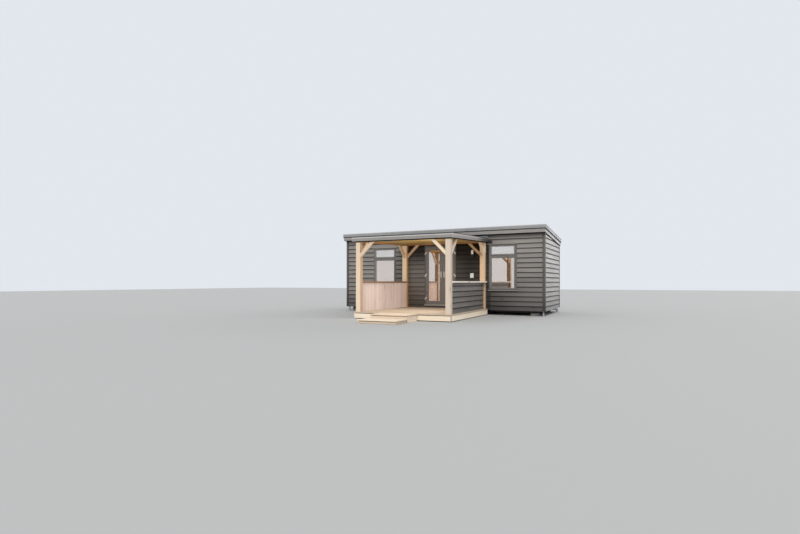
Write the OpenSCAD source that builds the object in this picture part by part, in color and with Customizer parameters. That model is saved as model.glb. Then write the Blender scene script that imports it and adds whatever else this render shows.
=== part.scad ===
// A timber cabin on a low base, with a flat single-pitch roof, two windows,
// a pair of glazed doors and a covered porch with deck, half walls and steps.
// X runs left to right along the front, Y from front to rear, Z up.
// The origin is on the ground, under the middle of the whole outline.

/* [Cabin] */
// Length of the cabin over its boards, left to right
cabin_len = 7440; // [7200:10:7800]
// Depth of the cabin over its boards, front to rear
cabin_depth = 2880; // [2700:10:3100]
// Height of the lowest board above the ground
base_gap = 160; // [140:5:180]
// Thickness of the floor panel
floor_t = 135; // [110:5:140]
// Thickness of a wall panel without its boards
wall_t = 100; // [100:5:120]
// Depth taken up by the outside boards
clad_t = 24; // [20:1:28]

/* [Roof] */
// Height of the roof edge at the front
front_top = 2915; // [2880:5:2960]
// Height of the roof edge at the rear
rear_top = 2680; // [2600:5:2750]
// Overhang of the roof edge past the boards at the front
front_over = 180; // [100:5:200]
// Overhang of the roof edge past the boards at the rear
rear_over = 80; // [60:5:120]
// Overhang of the roof edge past the boards at both ends
end_over = 46; // [46:2:80]
// Thickness of the roof panel
roof_t = 150; // [120:5:160]
// Height of the whole fascia board
fascia_h = 245; // [220:5:255]
// Thickness of the fascia board
fascia_t = 22; // [18:1:25]
// Height of the upper strip on the fascia
strip_h = 112; // [100:2:124]
// Thickness of the upper strip
strip_t = 20; // [12:1:20]
// Thickness of the inside ceiling boards
ceiling_t = 12; // [9:1:18]

/* [Windows] */
// Width of each window
win_w = 925; // [900:5:950]
// Height of each window
win_h = 1502; // [1480:2:1520]
// Height of the window's bottom edge
win_z = 844; // [820:2:860]
// Right window, from the front right corner
right_win_off = 909; // [880:1:940]
// Left window, from the front right corner
left_win_off = 5310; // [5290:5:5360]
// Width of the window frame's sides
win_side = 88; // [80:1:95]
// Depth of the window and door frames
frame_d = 100; // [90:5:110]
// How far the frames stand out past the boards
frame_out = 10; // [6:1:14]

/* [Doors] */
// Right side of the doorway, from the front right corner
door_off = 2995; // [2960:5:3030]
// Width of the left door leaf, the wider one
left_leaf_w = 630; // [610:1:650]
// Width of the right door leaf
right_leaf_w = 440; // [425:1:460]
// Height of both door leaves
leaf_h = 2005; // [1985:1:2010]
// Thickness of one door leaf
leaf_t = 50; // [44:1:54]
// Width of the leaf's side rails
stile_w = 105; // [95:1:110]
// Width of the side posts of the door frame
jamb_w = 42; // [38:1:48]
// Gap round each leaf
leaf_gap = 5; // [5:1:6]
// Heights of the hinges
hinge_z = [520, 1330, 2110];

/* [Porch] */
// Width of the deck
deck_w = 3110; // [3000:10:3200]
// Depth of the deck in front of the cabin
porch_depth = 3416; // [3350:2:3480]
// Right side of the deck, from the front right corner
deck_off = 1875; // [1850:5:1900]
// Height of the deck
deck_z = 205; // [200:1:212]
// Thickness of the deck boards
board_t = 28; // [24:1:32]
// Side of the square porch posts
post_s = 150; // [140:2:160]
// Width of the rear porch posts, seen from the front
rear_post_w = 170; // [150:2:172]
// Height of the porch roof edge at the front
porch_top = 2450; // [2420:5:2470]
// Height of the porch fascia
porch_fascia_h = 138; // [120:2:145]
// Rise of the porch roof from front to wall
porch_rise = 120; // [60:5:125]
// Height of the top rail of the half walls
rail_z = 1120; // [1080:5:1140]
// Thickness of the top rail
rail_t = 45; // [38:1:50]
// Length of a brace along post and beam
brace_l = 450; // [400:5:480]

/* [Steps] */
// Width of the landing and of the step
step_w = 1170; // [1100:5:1240]
// Right side of the landing, from the deck's right side
step_off = 1000; // [950:5:1050]
// Depth of the landing
landing_depth = 680; // [640:5:720]
// Depth of the lower step
step_depth = 670; // [640:5:700]
// Height of the lower step
step_z = 100; // [90:1:110]

/* [Hidden] */

e = 1;                                   // gap between boards of one set
hx = cabin_len / 2;                      // half length over boards
yf = (porch_depth + landing_depth + step_depth - cabin_depth - rear_over) / 2;
yr = yf + cabin_depth;
wf0 = yf + clad_t;                       // front wall panel, outer face
wf1 = wf0 + wall_t;
wr1 = yr - clad_t;                       // rear wall panel, outer face
wr0 = wr1 - wall_t;
wx1 = hx - clad_t;                       // end wall panel, outer face
wx0 = wx1 - wall_t;
floor_top = base_gap + floor_t;
roof_fall = (front_top - rear_top) / (cabin_depth + front_over + rear_over);
roof_y0 = yf - front_over;               // outer faces of the roof edge
roof_y1 = yr + rear_over;
roof_x = hx + end_over;
rail_h = base_gap - 90;                  // chassis rails stand on blocks
win_bottom = 56;
win_lower_h = 990;
win_upper_z = 1178;
win_upper_h = 250;
leaf_z = floor_top + 26;
door_w = 2 * jamb_w + 2 * leaf_gap + left_leaf_w + right_leaf_w + 6;
head_h = 45;
door_top = leaf_z + leaf_h + leaf_gap + head_h;
sill_top = leaf_z - leaf_gap;
face_y = yf - frame_out;                 // outer face of frames and leaves
hinge_y = face_y - 11;                   // axis of the hinges
hinge_r = 9;
leaf_foot = 105;                         // bottom and top rails of a leaf
leaf_head = 105;
porch_fall = porch_rise / (porch_depth + 15);
py0 = yf - porch_depth - 15;             // front of the porch roof
pxr = hx - deck_off + 7;                 // right edge of the porch roof
pxl = hx - deck_off - deck_w - 65;       // left edge of the porch roof
dxr = hx - deck_off;
dxl = dxr - deck_w;
dy0 = yf - porch_depth;
dy1 = yf - 4;
post_xr = dxr - 43 - post_s;             // left faces of the posts
post_xl = dxl + 50;
post_rl = dxl + 2;                       // the same for the rear posts
post_rr = dxr - 43 - 16 - rear_post_w;
post_yf = dy0 + 38;                      // front faces of the posts
post_yr = yf - post_s;
beam_w = 90;
beam_low = 168;                          // beam undersides below the porch roof
brace_t = 75;
sx1 = dxr - step_off;
sx0 = sx1 - step_w;

function from_right(l) = hx - l;
function roof_z(y) = front_top - roof_fall * (y - roof_y0);
function porch_z(y) = porch_top + porch_fall * (y - py0);

door_x1 = from_right(door_off);
door_x0 = door_x1 - door_w;
door_xm = (door_x0 + door_x1) / 2;
lw_x = from_right(left_win_off + win_w);
rw_x = from_right(right_win_off + win_w);

// A box between two corners
module box(x0, x1, y0, y1, z0, z1)
    translate([x0, y0, z0]) cube([x1 - x0, y1 - y0, z1 - z0]);

// A prism along X with a section of [y, z] points
module prism_x(x0, x1, pts)
    translate([x0, 0, 0]) rotate([90, 0, 90]) linear_extrude(x1 - x0) polygon(pts);

// A prism along Y with a section of [x, z] points
module prism_y(y0, y1, pts)
    translate([0, y1, 0]) rotate([90, 0, 0]) linear_extrude(y1 - y0) polygon(pts);

// A slab that follows the main roof, between two depths below its surface
module under_roof(x0, x1, y0, y1, top, bottom)
    prism_x(x0, x1, [[y0, roof_z(y0) - bottom], [y1, roof_z(y1) - bottom],
                     [y1, roof_z(y1) - top], [y0, roof_z(y0) - top]]);

// The same for the porch roof
module under_porch(x0, x1, y0, y1, top, bottom)
    prism_x(x0, x1, [[y0, porch_z(y0) - bottom], [y1, porch_z(y1) - bottom],
                     [y1, porch_z(y1) - top], [y0, porch_z(y0) - top]]);

// An upright wall panel up to the roof panel
module wall_panel(x0, x1, y0, y1, z0)
    prism_x(x0, x1, [[y0, z0], [y1, z0], [y1, roof_z(y1) - roof_t - e],
                     [y0, roof_z(y0) - roof_t - e]]);

/* base */
module support_blocks() color("dimgray") {
    for (x = [-3450, -1150, 1150, 3330], y = [wf0 + 320, wr1 - 320])
        translate([x - 110, y - 160, 0]) cube([220, 320, 90]);
    for (x = [dxl + 190, (dxl + dxr) / 2, dxr - 190], y = [dy0 + 190, dy0 + 1700, yf - 260])
        translate([x - 90, y - 90, 0]) cube([180, 180, 60]);
}
module chassis_rails() color("darkslategray")
    for (y = [wf0 + 320, wr1 - 320])
        box(-wx1 + 60, wx1 - 60, y - 50, y + 50, 90, base_gap);
module corner_props() color("silver")
    for (sx = [-1, 1], y = [wf0 + 70, wr1 - 70]) translate([sx * (wx1 - 55), y, 0]) {
        cylinder(h = base_gap, r = 28, $fn = 40);
        cylinder(h = 10, r = 60, $fn = 40);
    }
module floor() color("tan")
    box(-wx1, wx1, wf0, wr1, base_gap, floor_top);

/* walls */
module front_wall_left() color("dimgray") difference() {
    wall_panel(-wx1, door_x0, wf0, wf1, floor_top);
    box(lw_x, lw_x + win_w, wf0 - 1, wf1 + 1, win_z, win_z + win_h);
}
module front_wall_over_door() color("dimgray")
    wall_panel(door_x0, door_x1, wf0, wf1, door_top);
module front_wall_right() color("dimgray") difference() {
    wall_panel(door_x1, wx1, wf0, wf1, floor_top);
    box(rw_x, rw_x + win_w, wf0 - 1, wf1 + 1, win_z, win_z + win_h);
}
module rear_wall() color("dimgray")
    wall_panel(-wx1, wx1, wr0, wr1, floor_top);
module left_end_wall() color("gray")
    wall_panel(-wx1, -wx0, wf1, wr0, floor_top);
module right_end_wall() color("gray")
    wall_panel(wx0, wx1, wf1, wr0, floor_top);

/* roof */
module ceiling() color("whitesmoke")
    under_roof(-wx0 + e, wx0 - e, wf1 + e, wr0 - e, roof_t + e, roof_t + e + ceiling_t);
module roof_deck() color("slategray")
    under_roof(-roof_x + strip_t + fascia_t, roof_x - strip_t - fascia_t,
               roof_y0 + strip_t + fascia_t, roof_y1 - strip_t - fascia_t, 12, roof_t);
module roof_fascia() color("darkgray") {
    fx = roof_x - strip_t;
    fy0 = roof_y0 + strip_t;
    fy1 = roof_y1 - strip_t;
    box(-fx, fx, fy0, fy0 + fascia_t, front_top - fascia_h, roof_z(fy0 + fascia_t));
    box(-fx, fx, fy1 - fascia_t, fy1, rear_top - fascia_h, rear_top);
    for (x = [-fx, fx - fascia_t])
        under_roof(x, x + fascia_t, fy0 + fascia_t + e, fy1 - fascia_t - e, 0, fascia_h);
}
module roof_edge_strip() color("silver") {
    sx = roof_x;
    y0 = roof_y0;
    y1 = roof_y1;
    box(-sx, sx, y0, y0 + strip_t, front_top - strip_h, front_top);
    box(-sx, sx, y1 - strip_t, y1, rear_top - strip_h, rear_top);
    for (x = [-sx, sx - strip_t])
        under_roof(x, x + strip_t, y0 + strip_t + e, y1 - strip_t - e, 0, strip_h);
}
module corner_trims() color("dimgray")
    for (s = [-1, 1]) {
        a = s < 0 ? -hx - 4 : hx - 76;
        b = s < 0 ? -hx - 4 : wx1;
        wide = 80;
        box(a, a + wide, yf - 4, wf0, base_gap, roof_z(wf0) - roof_t - e);
        box(a, a + wide, wr1, yr + 4, base_gap, roof_z(yr + 4) - roof_t - e);
        box(b, b + clad_t + 4, wf0 + e, yf + 56, base_gap, roof_z(yf + 56) - roof_t - e);
        box(b, b + clad_t + 4, yr - 56, wr1 - e, base_gap, roof_z(wr1) - roof_t - e);
    }

/* windows */
module window_frame(x0) color("gray") difference() {
    box(x0, x0 + win_w, face_y, face_y + frame_d, win_z, win_z + win_h);
    box(x0 + win_side, x0 + win_w - win_side, face_y - 1, face_y + frame_d + 1,
        win_z + win_bottom, win_z + win_bottom + win_lower_h);
    box(x0 + win_side, x0 + win_w - win_side, face_y - 1, face_y + frame_d + 1,
        win_z + win_upper_z, win_z + win_upper_z + win_upper_h);
}
module left_window_frame() window_frame(lw_x);
module right_window_frame() window_frame(rw_x);
module window_glass() color("lightblue", 0.5)
    for (x0 = [lw_x, rw_x]) {
        box(x0 + win_side, x0 + win_w - win_side, face_y + 30, face_y + 54,
            win_z + win_bottom, win_z + win_bottom + win_lower_h);
        box(x0 + win_side, x0 + win_w - win_side, face_y + 30, face_y + 54,
            win_z + win_upper_z, win_z + win_upper_z + win_upper_h);
    }
module window_sills() color("gray")
    for (x0 = [lw_x, rw_x])
        prism_x(x0 - 30, x0 + win_w + 30, [[yf - 48, win_z - 56], [wf0, win_z - 56],
                                           [wf0, win_z], [yf - 48, win_z - 10]]);
module window_heads() color("dimgray")
    for (x0 = [lw_x, rw_x])
        prism_x(x0 - 60, x0 + win_w + 60, [[yf - 30, win_z + win_h], [wf0, win_z + win_h],
                                           [wf0, win_z + win_h + 26], [yf - 30, win_z + win_h + 16]]);

/* doorway */
module door_frame() color("gray") {
    box(door_x0, door_x0 + jamb_w, face_y, face_y + frame_d, sill_top, door_top);
    box(door_x1 - jamb_w, door_x1, face_y, face_y + frame_d, sill_top, door_top);
    box(door_x0 + jamb_w + e, door_x1 - jamb_w - e, face_y, face_y + frame_d, door_top - head_h, door_top);
}
module door_threshold() color("silver")
    prism_x(door_x0, door_x1, [[yf - 50, sill_top - 54], [wf0, sill_top - 54], [wf0, floor_top],
                               [face_y + frame_d, floor_top], [face_y + frame_d, sill_top],
                               [yf - 50, sill_top - 3]]);

// One hinge half: a barrel on the axis and a plate to one side
module hinge_half(xa, side, z) {
    translate([xa, hinge_y, z]) cylinder(h = 44, r = hinge_r, $fn = 32);
    x0 = side > 0 ? xa : xa - 40;
    box(x0, x0 + 40, face_y - 5, face_y, z, z + 44);
}
left_axis = door_x0 + jamb_w + leaf_gap / 2;
right_axis = door_x1 - jamb_w - leaf_gap / 2;
module frame_hinges() color("white") {
    for (z = hinge_z) hinge_half(left_axis, -1, z - 46);
    for (z = hinge_z) hinge_half(right_axis, 1, z - 46);
}
module left_door_hinges() color("white")
    for (z = hinge_z) hinge_half(left_axis, 1, z);
module right_door_hinges() color("white")
    for (z = hinge_z) hinge_half(right_axis, -1, z);

// A leaf from its hinge edge, with a bevelled meeting edge and a glass hole
module leaf(w) difference() {
    linear_extrude(leaf_h) polygon([[0, 0], [w, 0], [w - 8, leaf_t], [0, leaf_t]]);
    translate([stile_w, -1, leaf_foot]) cube([w - 2 * stile_w, leaf_t + 2, leaf_h - leaf_foot - leaf_head]);
}
module leaf_glass(w)
    translate([stile_w, 14, leaf_foot]) cube([w - 2 * stile_w, 24, leaf_h - leaf_foot - leaf_head]);
// Plate, boss and lever on both faces of a leaf
module leaf_handles(w) {
    x = w - stile_w / 2;
    for (f = [0, 1]) translate([0, f * leaf_t, 0]) mirror([0, f, 0]) {
        translate([x - 16, -8, 929]) cube([32, 8, 210]);
        translate([x, -4, 1085]) rotate([90, 0, 0]) cylinder(h = 44, r = 7, $fn = 32);
        translate([x + 12, -48, 1085]) rotate([0, -90, 0]) cylinder(h = 132, r = 9, $fn = 32);
    }
}
left_leaf_x = door_x0 + jamb_w + leaf_gap;
right_leaf_x = door_x1 - jamb_w - leaf_gap;
module left_door() color("gray") translate([left_leaf_x, face_y, leaf_z]) leaf(left_leaf_w);
module left_door_glass() color("lightblue", 0.5) translate([left_leaf_x, face_y, leaf_z]) leaf_glass(left_leaf_w);
module left_door_handles() color("white") translate([left_leaf_x, face_y, leaf_z]) leaf_handles(left_leaf_w);
module right_door() color("gray") translate([right_leaf_x, face_y, leaf_z]) mirror([1, 0, 0]) leaf(right_leaf_w);
module right_door_glass() color("lightblue", 0.5)
    translate([right_leaf_x, face_y, leaf_z]) mirror([1, 0, 0]) leaf_glass(right_leaf_w);
module right_door_handles() color("white")
    translate([right_leaf_x, face_y, leaf_z]) mirror([1, 0, 0]) leaf_handles(right_leaf_w);

/* porch floor and steps */
module porch_deck() color("wheat")
    box(dxl, dxr, dy0, dy1, deck_z - board_t, deck_z);
module deck_frame() color("burlywood") {
    t = 28;
    z0 = 22;
    z1 = deck_z - board_t;
    box(dxl + 10, dxr - 10, dy0 + 10, dy0 + 10 + t, z0, z1);
    for (x = [dxl + 10, dxr - 10 - t]) box(x, x + t, dy0 + 10 + t + e, dy1, z0, z1);
    for (i = [0:6]) {
        x = dxl + 100 + i * (deck_w - 200 - 47) / 6;
        box(x, x + 47, dy0 + 11 + t + e, dy1, 60, z1);
    }
}
// A low box step: top boards on three upright boards
module box_step(x0, x1, y0, y1, z) {
    t = 28;
    box(x0, x1, y0, y1, z - board_t, z);
    box(x0 + 14, x1 - 14, y0 + 14, y0 + 14 + t, 0, z - board_t - e);
    for (x = [x0 + 14, x1 - 14 - t]) box(x, x + t, y0 + 14 + t + e, y1, 0, z - board_t - e);
}
module landing() color("wheat")
    box_step(sx0, sx1, dy0 - landing_depth, dy0 - e, deck_z);
module lower_step() color("wheat")
    box_step(sx0, sx1, dy0 - landing_depth - step_depth, dy0 - landing_depth - e, step_z);

/* porch frame */
module porch_posts() color("bisque") {
    for (x = [post_xl, post_xr])
        box(x, x + post_s, post_yf, post_yf + post_s, deck_z, porch_z(post_yf) - beam_low);
    for (x = [post_rl, post_rr])
        box(x, x + rear_post_w, post_yr, yf - 1, deck_z, porch_z(post_yr) - beam_low);
}
module porch_beams() color("burlywood") {
    under_porch(post_xl, post_xr + post_s, post_yf, post_yf + beam_w, 46, beam_low);
    for (x = [post_xl, post_xr + post_s - beam_w])
        under_porch(x, x + beam_w, post_yf + beam_w + e, yf - 1, 46, beam_low);
    under_porch(post_xl + beam_w + e, post_xr + post_s - beam_w - e, yf - 1 - beam_w, yf - 1, 46, beam_low);
}
// A diagonal brace across X, from a post face to the beam above
module brace_x(x, dir, y, z) {
    d = 120;
    prism_y(y, y + brace_t, [[x, z - brace_l], [x + dir * brace_l, z],
                             [x + dir * (brace_l - d), z], [x, z - brace_l + d]]);
}
// The same across Y, under the sloping side beam
module brace_y(x, y, dir) {
    d = 120;
    ya = y + dir * brace_l;
    yb = y + dir * (brace_l - d);
    z = porch_z(y) - beam_low;
    prism_x(x, x + brace_t, [[y, z - brace_l], [ya, porch_z(ya) - beam_low],
                             [yb, porch_z(yb) - beam_low], [y, z - brace_l + d]]);
}
module knee_braces() color("bisque") {
    zf = porch_z(post_yf) - beam_low;
    zr = porch_z(yf - beam_w) - beam_low;
    brace_x(post_xl + post_s, 1, post_yf + 8, zf);
    brace_x(post_xr, -1, post_yf + 8, zf);
    brace_x(post_rl + rear_post_w, 1, yf - 8 - brace_t, zr);
    brace_x(post_rr, -1, yf - 8 - brace_t, zr);
    for (x = [post_xl + 8, post_xr + post_s - 8 - brace_t]) brace_y(x, post_yf + post_s, 1);
    for (x = [post_xl + 8, post_rr + rear_post_w - 4 - brace_t]) brace_y(x, post_yr, -1);
}
module half_walls() color("rosybrown")
    for (x = [post_xl + 67, post_xr + 60])
        box(x, x + 23, post_yf + post_s, post_yr, deck_z, rail_z - rail_t);
module half_wall_rails() color("tan")
    for (s = [-1, 1]) {
        inner = s < 0 ? post_xl + post_s : post_xr;
        outer = s < 0 ? post_xl : post_xr + post_s;
        lip = outer + s * 25;
        box(min(inner, lip), max(inner, lip), post_yf + post_s, post_yr, rail_z - rail_t, rail_z);
        if (s > 0) box(post_rr + rear_post_w, lip, post_yr - 1, dy1, rail_z - rail_t, rail_z);
    }

/* porch roof */
module porch_roof() color("slategray")
    under_porch(pxl + fascia_t, pxr - fascia_t, py0 + fascia_t, yf - 2, 6, 45);
module porch_ceiling() color("darkgoldenrod")
    under_porch(post_xl + beam_w, post_xr + post_s - beam_w, post_yf + beam_w, yf - 1 - beam_w, 102, 118);
module porch_fascia() color("darkgray") {
    box(pxl, pxr, py0, py0 + fascia_t, porch_top - porch_fascia_h, porch_top);
    for (x = [pxl, pxr - fascia_t])
        under_porch(x, x + fascia_t, py0 + fascia_t + e, yf - 2, 0, porch_fascia_h);
}

/* fittings on the front wall */
lamp_x = from_right(2388);
socket_x = from_right(2410);
lamp_y = yf - 70;
module wall_lamp() color("ivory") {
    box(lamp_x - 34, lamp_x + 34, yf - 30, yf, 2036, 2146);
    translate([lamp_x, lamp_y, 2154]) cylinder(h = 24, r1 = 44, r2 = 20, $fn = 40);
    translate([lamp_x, lamp_y, 1996]) cylinder(h = 158, r = 42, $fn = 40);
    translate([lamp_x, lamp_y, 1960]) cylinder(h = 36, r = 36, $fn = 40);
    translate([lamp_x, lamp_y, 1925]) cylinder(h = 35, r = 13, $fn = 40);
}
module socket_box() color("white")
    box(socket_x - 60, socket_x + 60, yf - 72, yf, 1228, 1392);

support_blocks();
chassis_rails();
corner_props();
floor();
front_wall_left();
front_wall_over_door();
front_wall_right();
rear_wall();
left_end_wall();
right_end_wall();
ceiling();
roof_deck();
roof_fascia();
roof_edge_strip();
corner_trims();
left_window_frame();
right_window_frame();
window_glass();
window_sills();
window_heads();
door_frame();
door_threshold();
frame_hinges();
left_door();
left_door_glass();
left_door_handles();
left_door_hinges();
right_door();
right_door_glass();
right_door_handles();
right_door_hinges();
porch_deck();
deck_frame();
landing();
lower_step();
porch_posts();
porch_beams();
knee_braces();
half_walls();
half_wall_rails();
porch_roof();
porch_ceiling();
porch_fascia();
wall_lamp();
socket_box();
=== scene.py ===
"""Looks of a small timber cabin with a covered porch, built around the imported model.
Units are metres: X runs along the front, Y from the porch to the rear, Z up."""
import math
import random

import bpy
import bmesh
import numpy as np
from mathutils import Matrix, Vector


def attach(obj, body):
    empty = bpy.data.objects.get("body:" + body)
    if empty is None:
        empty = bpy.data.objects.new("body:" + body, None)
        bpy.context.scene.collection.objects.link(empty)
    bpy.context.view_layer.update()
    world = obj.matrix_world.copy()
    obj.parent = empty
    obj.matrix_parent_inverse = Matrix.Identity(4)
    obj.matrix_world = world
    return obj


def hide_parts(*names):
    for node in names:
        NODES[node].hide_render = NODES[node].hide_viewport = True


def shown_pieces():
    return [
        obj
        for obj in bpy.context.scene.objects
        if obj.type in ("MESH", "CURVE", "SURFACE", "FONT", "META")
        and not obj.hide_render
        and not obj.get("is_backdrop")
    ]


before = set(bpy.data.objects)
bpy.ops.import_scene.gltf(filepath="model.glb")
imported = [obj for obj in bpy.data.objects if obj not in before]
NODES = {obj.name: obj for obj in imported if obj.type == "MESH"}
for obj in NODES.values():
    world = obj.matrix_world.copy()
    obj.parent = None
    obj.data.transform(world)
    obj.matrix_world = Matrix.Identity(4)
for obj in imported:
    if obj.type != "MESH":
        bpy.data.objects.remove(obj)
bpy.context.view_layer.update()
SC = bpy.context.scene
RND = random.Random(20)

# ---------------------------------------------------------------- sizes
HX = 3.720                                # half length over the boards
YF, YR = 0.903, 3.783                     # front and rear faces of the boards
WF0, WF1 = YF + 0.024, YF + 0.124         # front wall panel
WR0, WR1 = YR - 0.124, YR - 0.024
WX0, WX1 = HX - 0.124, HX - 0.024
BASE, FLOOR = 0.160, 0.295
FRONT_TOP, REAR_TOP = 2.915, 2.680
RY0, RY1, RX = YF - 0.180, YR + 0.080, HX + 0.046
FALL = (FRONT_TOP - REAR_TOP) / (RY1 - RY0)
ROOF_T = 0.150
FACE = YF - 0.010                         # outer face of frames and leaves
COVER = 0.1573                            # height of each board that shows
DXR, DXL = HX - 1.875, HX - 1.875 - 3.110
DY0, DY1 = YF - 3.416, YF - 0.004
DECK = 0.205
PY0 = YF - 3.416 - 0.015
PXR, PXL = DXR + 0.007, DXL - 0.065
PFALL = 0.120 / 3.431
POST = 0.150
PR_X = DXR - 0.043 - POST
PL_X = DXL + 0.050
PF_Y = DY0 + 0.038
PR_Y = YF - POST
REAR_W = 0.170                            # rear posts
RL_X, RR_X = DXL + 0.002, DXR - 0.059 - REAR_W
BEAM_W, BEAM_LOW = 0.090, 0.168
RAIL_Z, RAIL_T = 1.120, 0.045
WIN_W, WIN_H, WIN_Z = 0.925, 1.502, 0.844
WIN_X = (HX - 5.310 - WIN_W, HX - 0.909 - WIN_W)
DOOR_X1 = HX - 2.995
DOOR_X0 = DOOR_X1 - 1.170
JAMB, GAP, LEAF_H, LEAF_T, STILE = 0.042, 0.005, 2.005, 0.050, 0.105
LEAF_W = {1: 0.630, -1: 0.440}             # the left leaf is the wider one
LEAF_Z = FLOOR + 0.026
SILL_TOP = LEAF_Z - GAP
DOOR_TOP = LEAF_Z + LEAF_H + GAP + 0.045
HINGE_Y = FACE - 0.011
HINGE_Z = (0.520, 1.330, 2.110)
L_AXIS, R_AXIS = DOOR_X0 + JAMB + GAP / 2, DOOR_X1 - JAMB - GAP / 2
SX1 = DXR - 1.000
SX0 = SX1 - 1.170
LAND_D, STEP_D, STEP_Z = 0.680, 0.670, 0.100
LAMP_X, LAMP_Y = HX - 2.388, YF - 0.070
SOCK_X = HX - 2.410


def roof_z(y):
    return FRONT_TOP - FALL * (y - RY0)


def porch_z(y):
    return 2.450 + PFALL * (y - PY0)


# ---------------------------------------------------------------- camera
cam_data = bpy.data.cameras.new("camera")
cam_data.sensor_fit = "HORIZONTAL"
cam_data.sensor_width = 36.0
cam_data.lens = 489.0 * 36.0 / 800.0
cam_data.shift_y = 15.0 / 800.0
cam_data.clip_start, cam_data.clip_end = 0.1, 500.0
cam = bpy.data.objects.new("camera", cam_data)
SC.collection.objects.link(cam)
cam.location = (HX + 2.82, YF - 15.89, 1.097)
cam.rotation_euler = (math.radians(90), 0.0, math.atan2(0.4483, 0.894))
SC.camera = cam

# ---------------------------------------------------------------- materials
Sock = bpy.types.NodeSocket


def node(nt, kind, props=None, **ins):
    n = nt.nodes.new(kind)
    for k, v in (props or {}).items():
        setattr(n, k, v)
    for k, v in ins.items():
        s = n.inputs[int(k[1:])] if k[0] == "_" and k[1:].isdigit() else n.inputs[k.replace("_", " ")]
        if isinstance(v, Sock):
            nt.links.new(v, s)
        else:
            s.default_value = v
    return n


def attr(nt, name):
    return node(nt, "ShaderNodeAttribute", {"attribute_name": name})


def scaled(nt, vec, scale, loc=(0, 0, 0)):
    return node(nt, "ShaderNodeMapping", Vector=vec, Location=loc, Scale=scale).outputs[0]


def noise(nt, vec, scale=1.0, detail=4.0, rough=0.55, distort=0.0):
    return node(nt, "ShaderNodeTexNoise", Vector=vec, Scale=scale, Detail=detail, Roughness=rough, Distortion=distort).outputs["Fac"]


def ramp(nt, fac, stops, mode="LINEAR"):
    n = node(nt, "ShaderNodeValToRGB", Fac=fac)
    cr = n.color_ramp
    cr.interpolation = mode
    while len(cr.elements) < len(stops):
        cr.elements.new(0.5)
    for el, (p, c) in zip(cr.elements, stops):
        el.position = p
        el.color = (c[0], c[1], c[2], 1.0) if hasattr(c, "__len__") else (c, c, c, 1.0)
    return n.outputs[0]


def span(nt, v, a, b, c=0.0, d=1.0):
    return node(nt, "ShaderNodeMapRange", {"clamp": True}, _0=v, _1=a, _2=b, _3=c, _4=d).outputs[0]


def mixc(nt, fac, a, b, blend="MIX"):
    n = nt.nodes.new("ShaderNodeMix")
    n.data_type = "RGBA"
    n.blend_type = blend
    for i, v in ((0, fac), (6, a), (7, b)):
        if isinstance(v, Sock):
            nt.links.new(v, n.inputs[i])
        else:
            n.inputs[i].default_value = v if i == 0 else (v[0], v[1], v[2], 1.0)
    return n.outputs[2]


def calc(nt, op, a, b=0.0, c=0.0, clamp=False):
    return node(nt, "ShaderNodeMath", {"operation": op, "use_clamp": clamp}, _0=a, _1=b, _2=c).outputs[0]


def new_mat(name):
    m = bpy.data.materials.new(name)
    m.use_nodes = True
    nt = m.node_tree
    return m, nt, nt.nodes["Principled BSDF"]


def lin(*rgb):
    """8-bit display colour to linear."""
    out = []
    for c in rgb:
        c /= 255.0
        out.append(c / 12.92 if c <= 0.04045 else ((c + 0.055) / 1.055) ** 2.4)
    return tuple(out)


def bump(nt, bsdf, height, strength, distance):
    b = node(nt, "ShaderNodeBump", Height=height, Strength=strength, Distance=distance)
    nt.links.new(b.outputs[0], bsdf.inputs["Normal"])


def object_co(nt):
    return node(nt, "ShaderNodeTexCoord").outputs["Object"]


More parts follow.
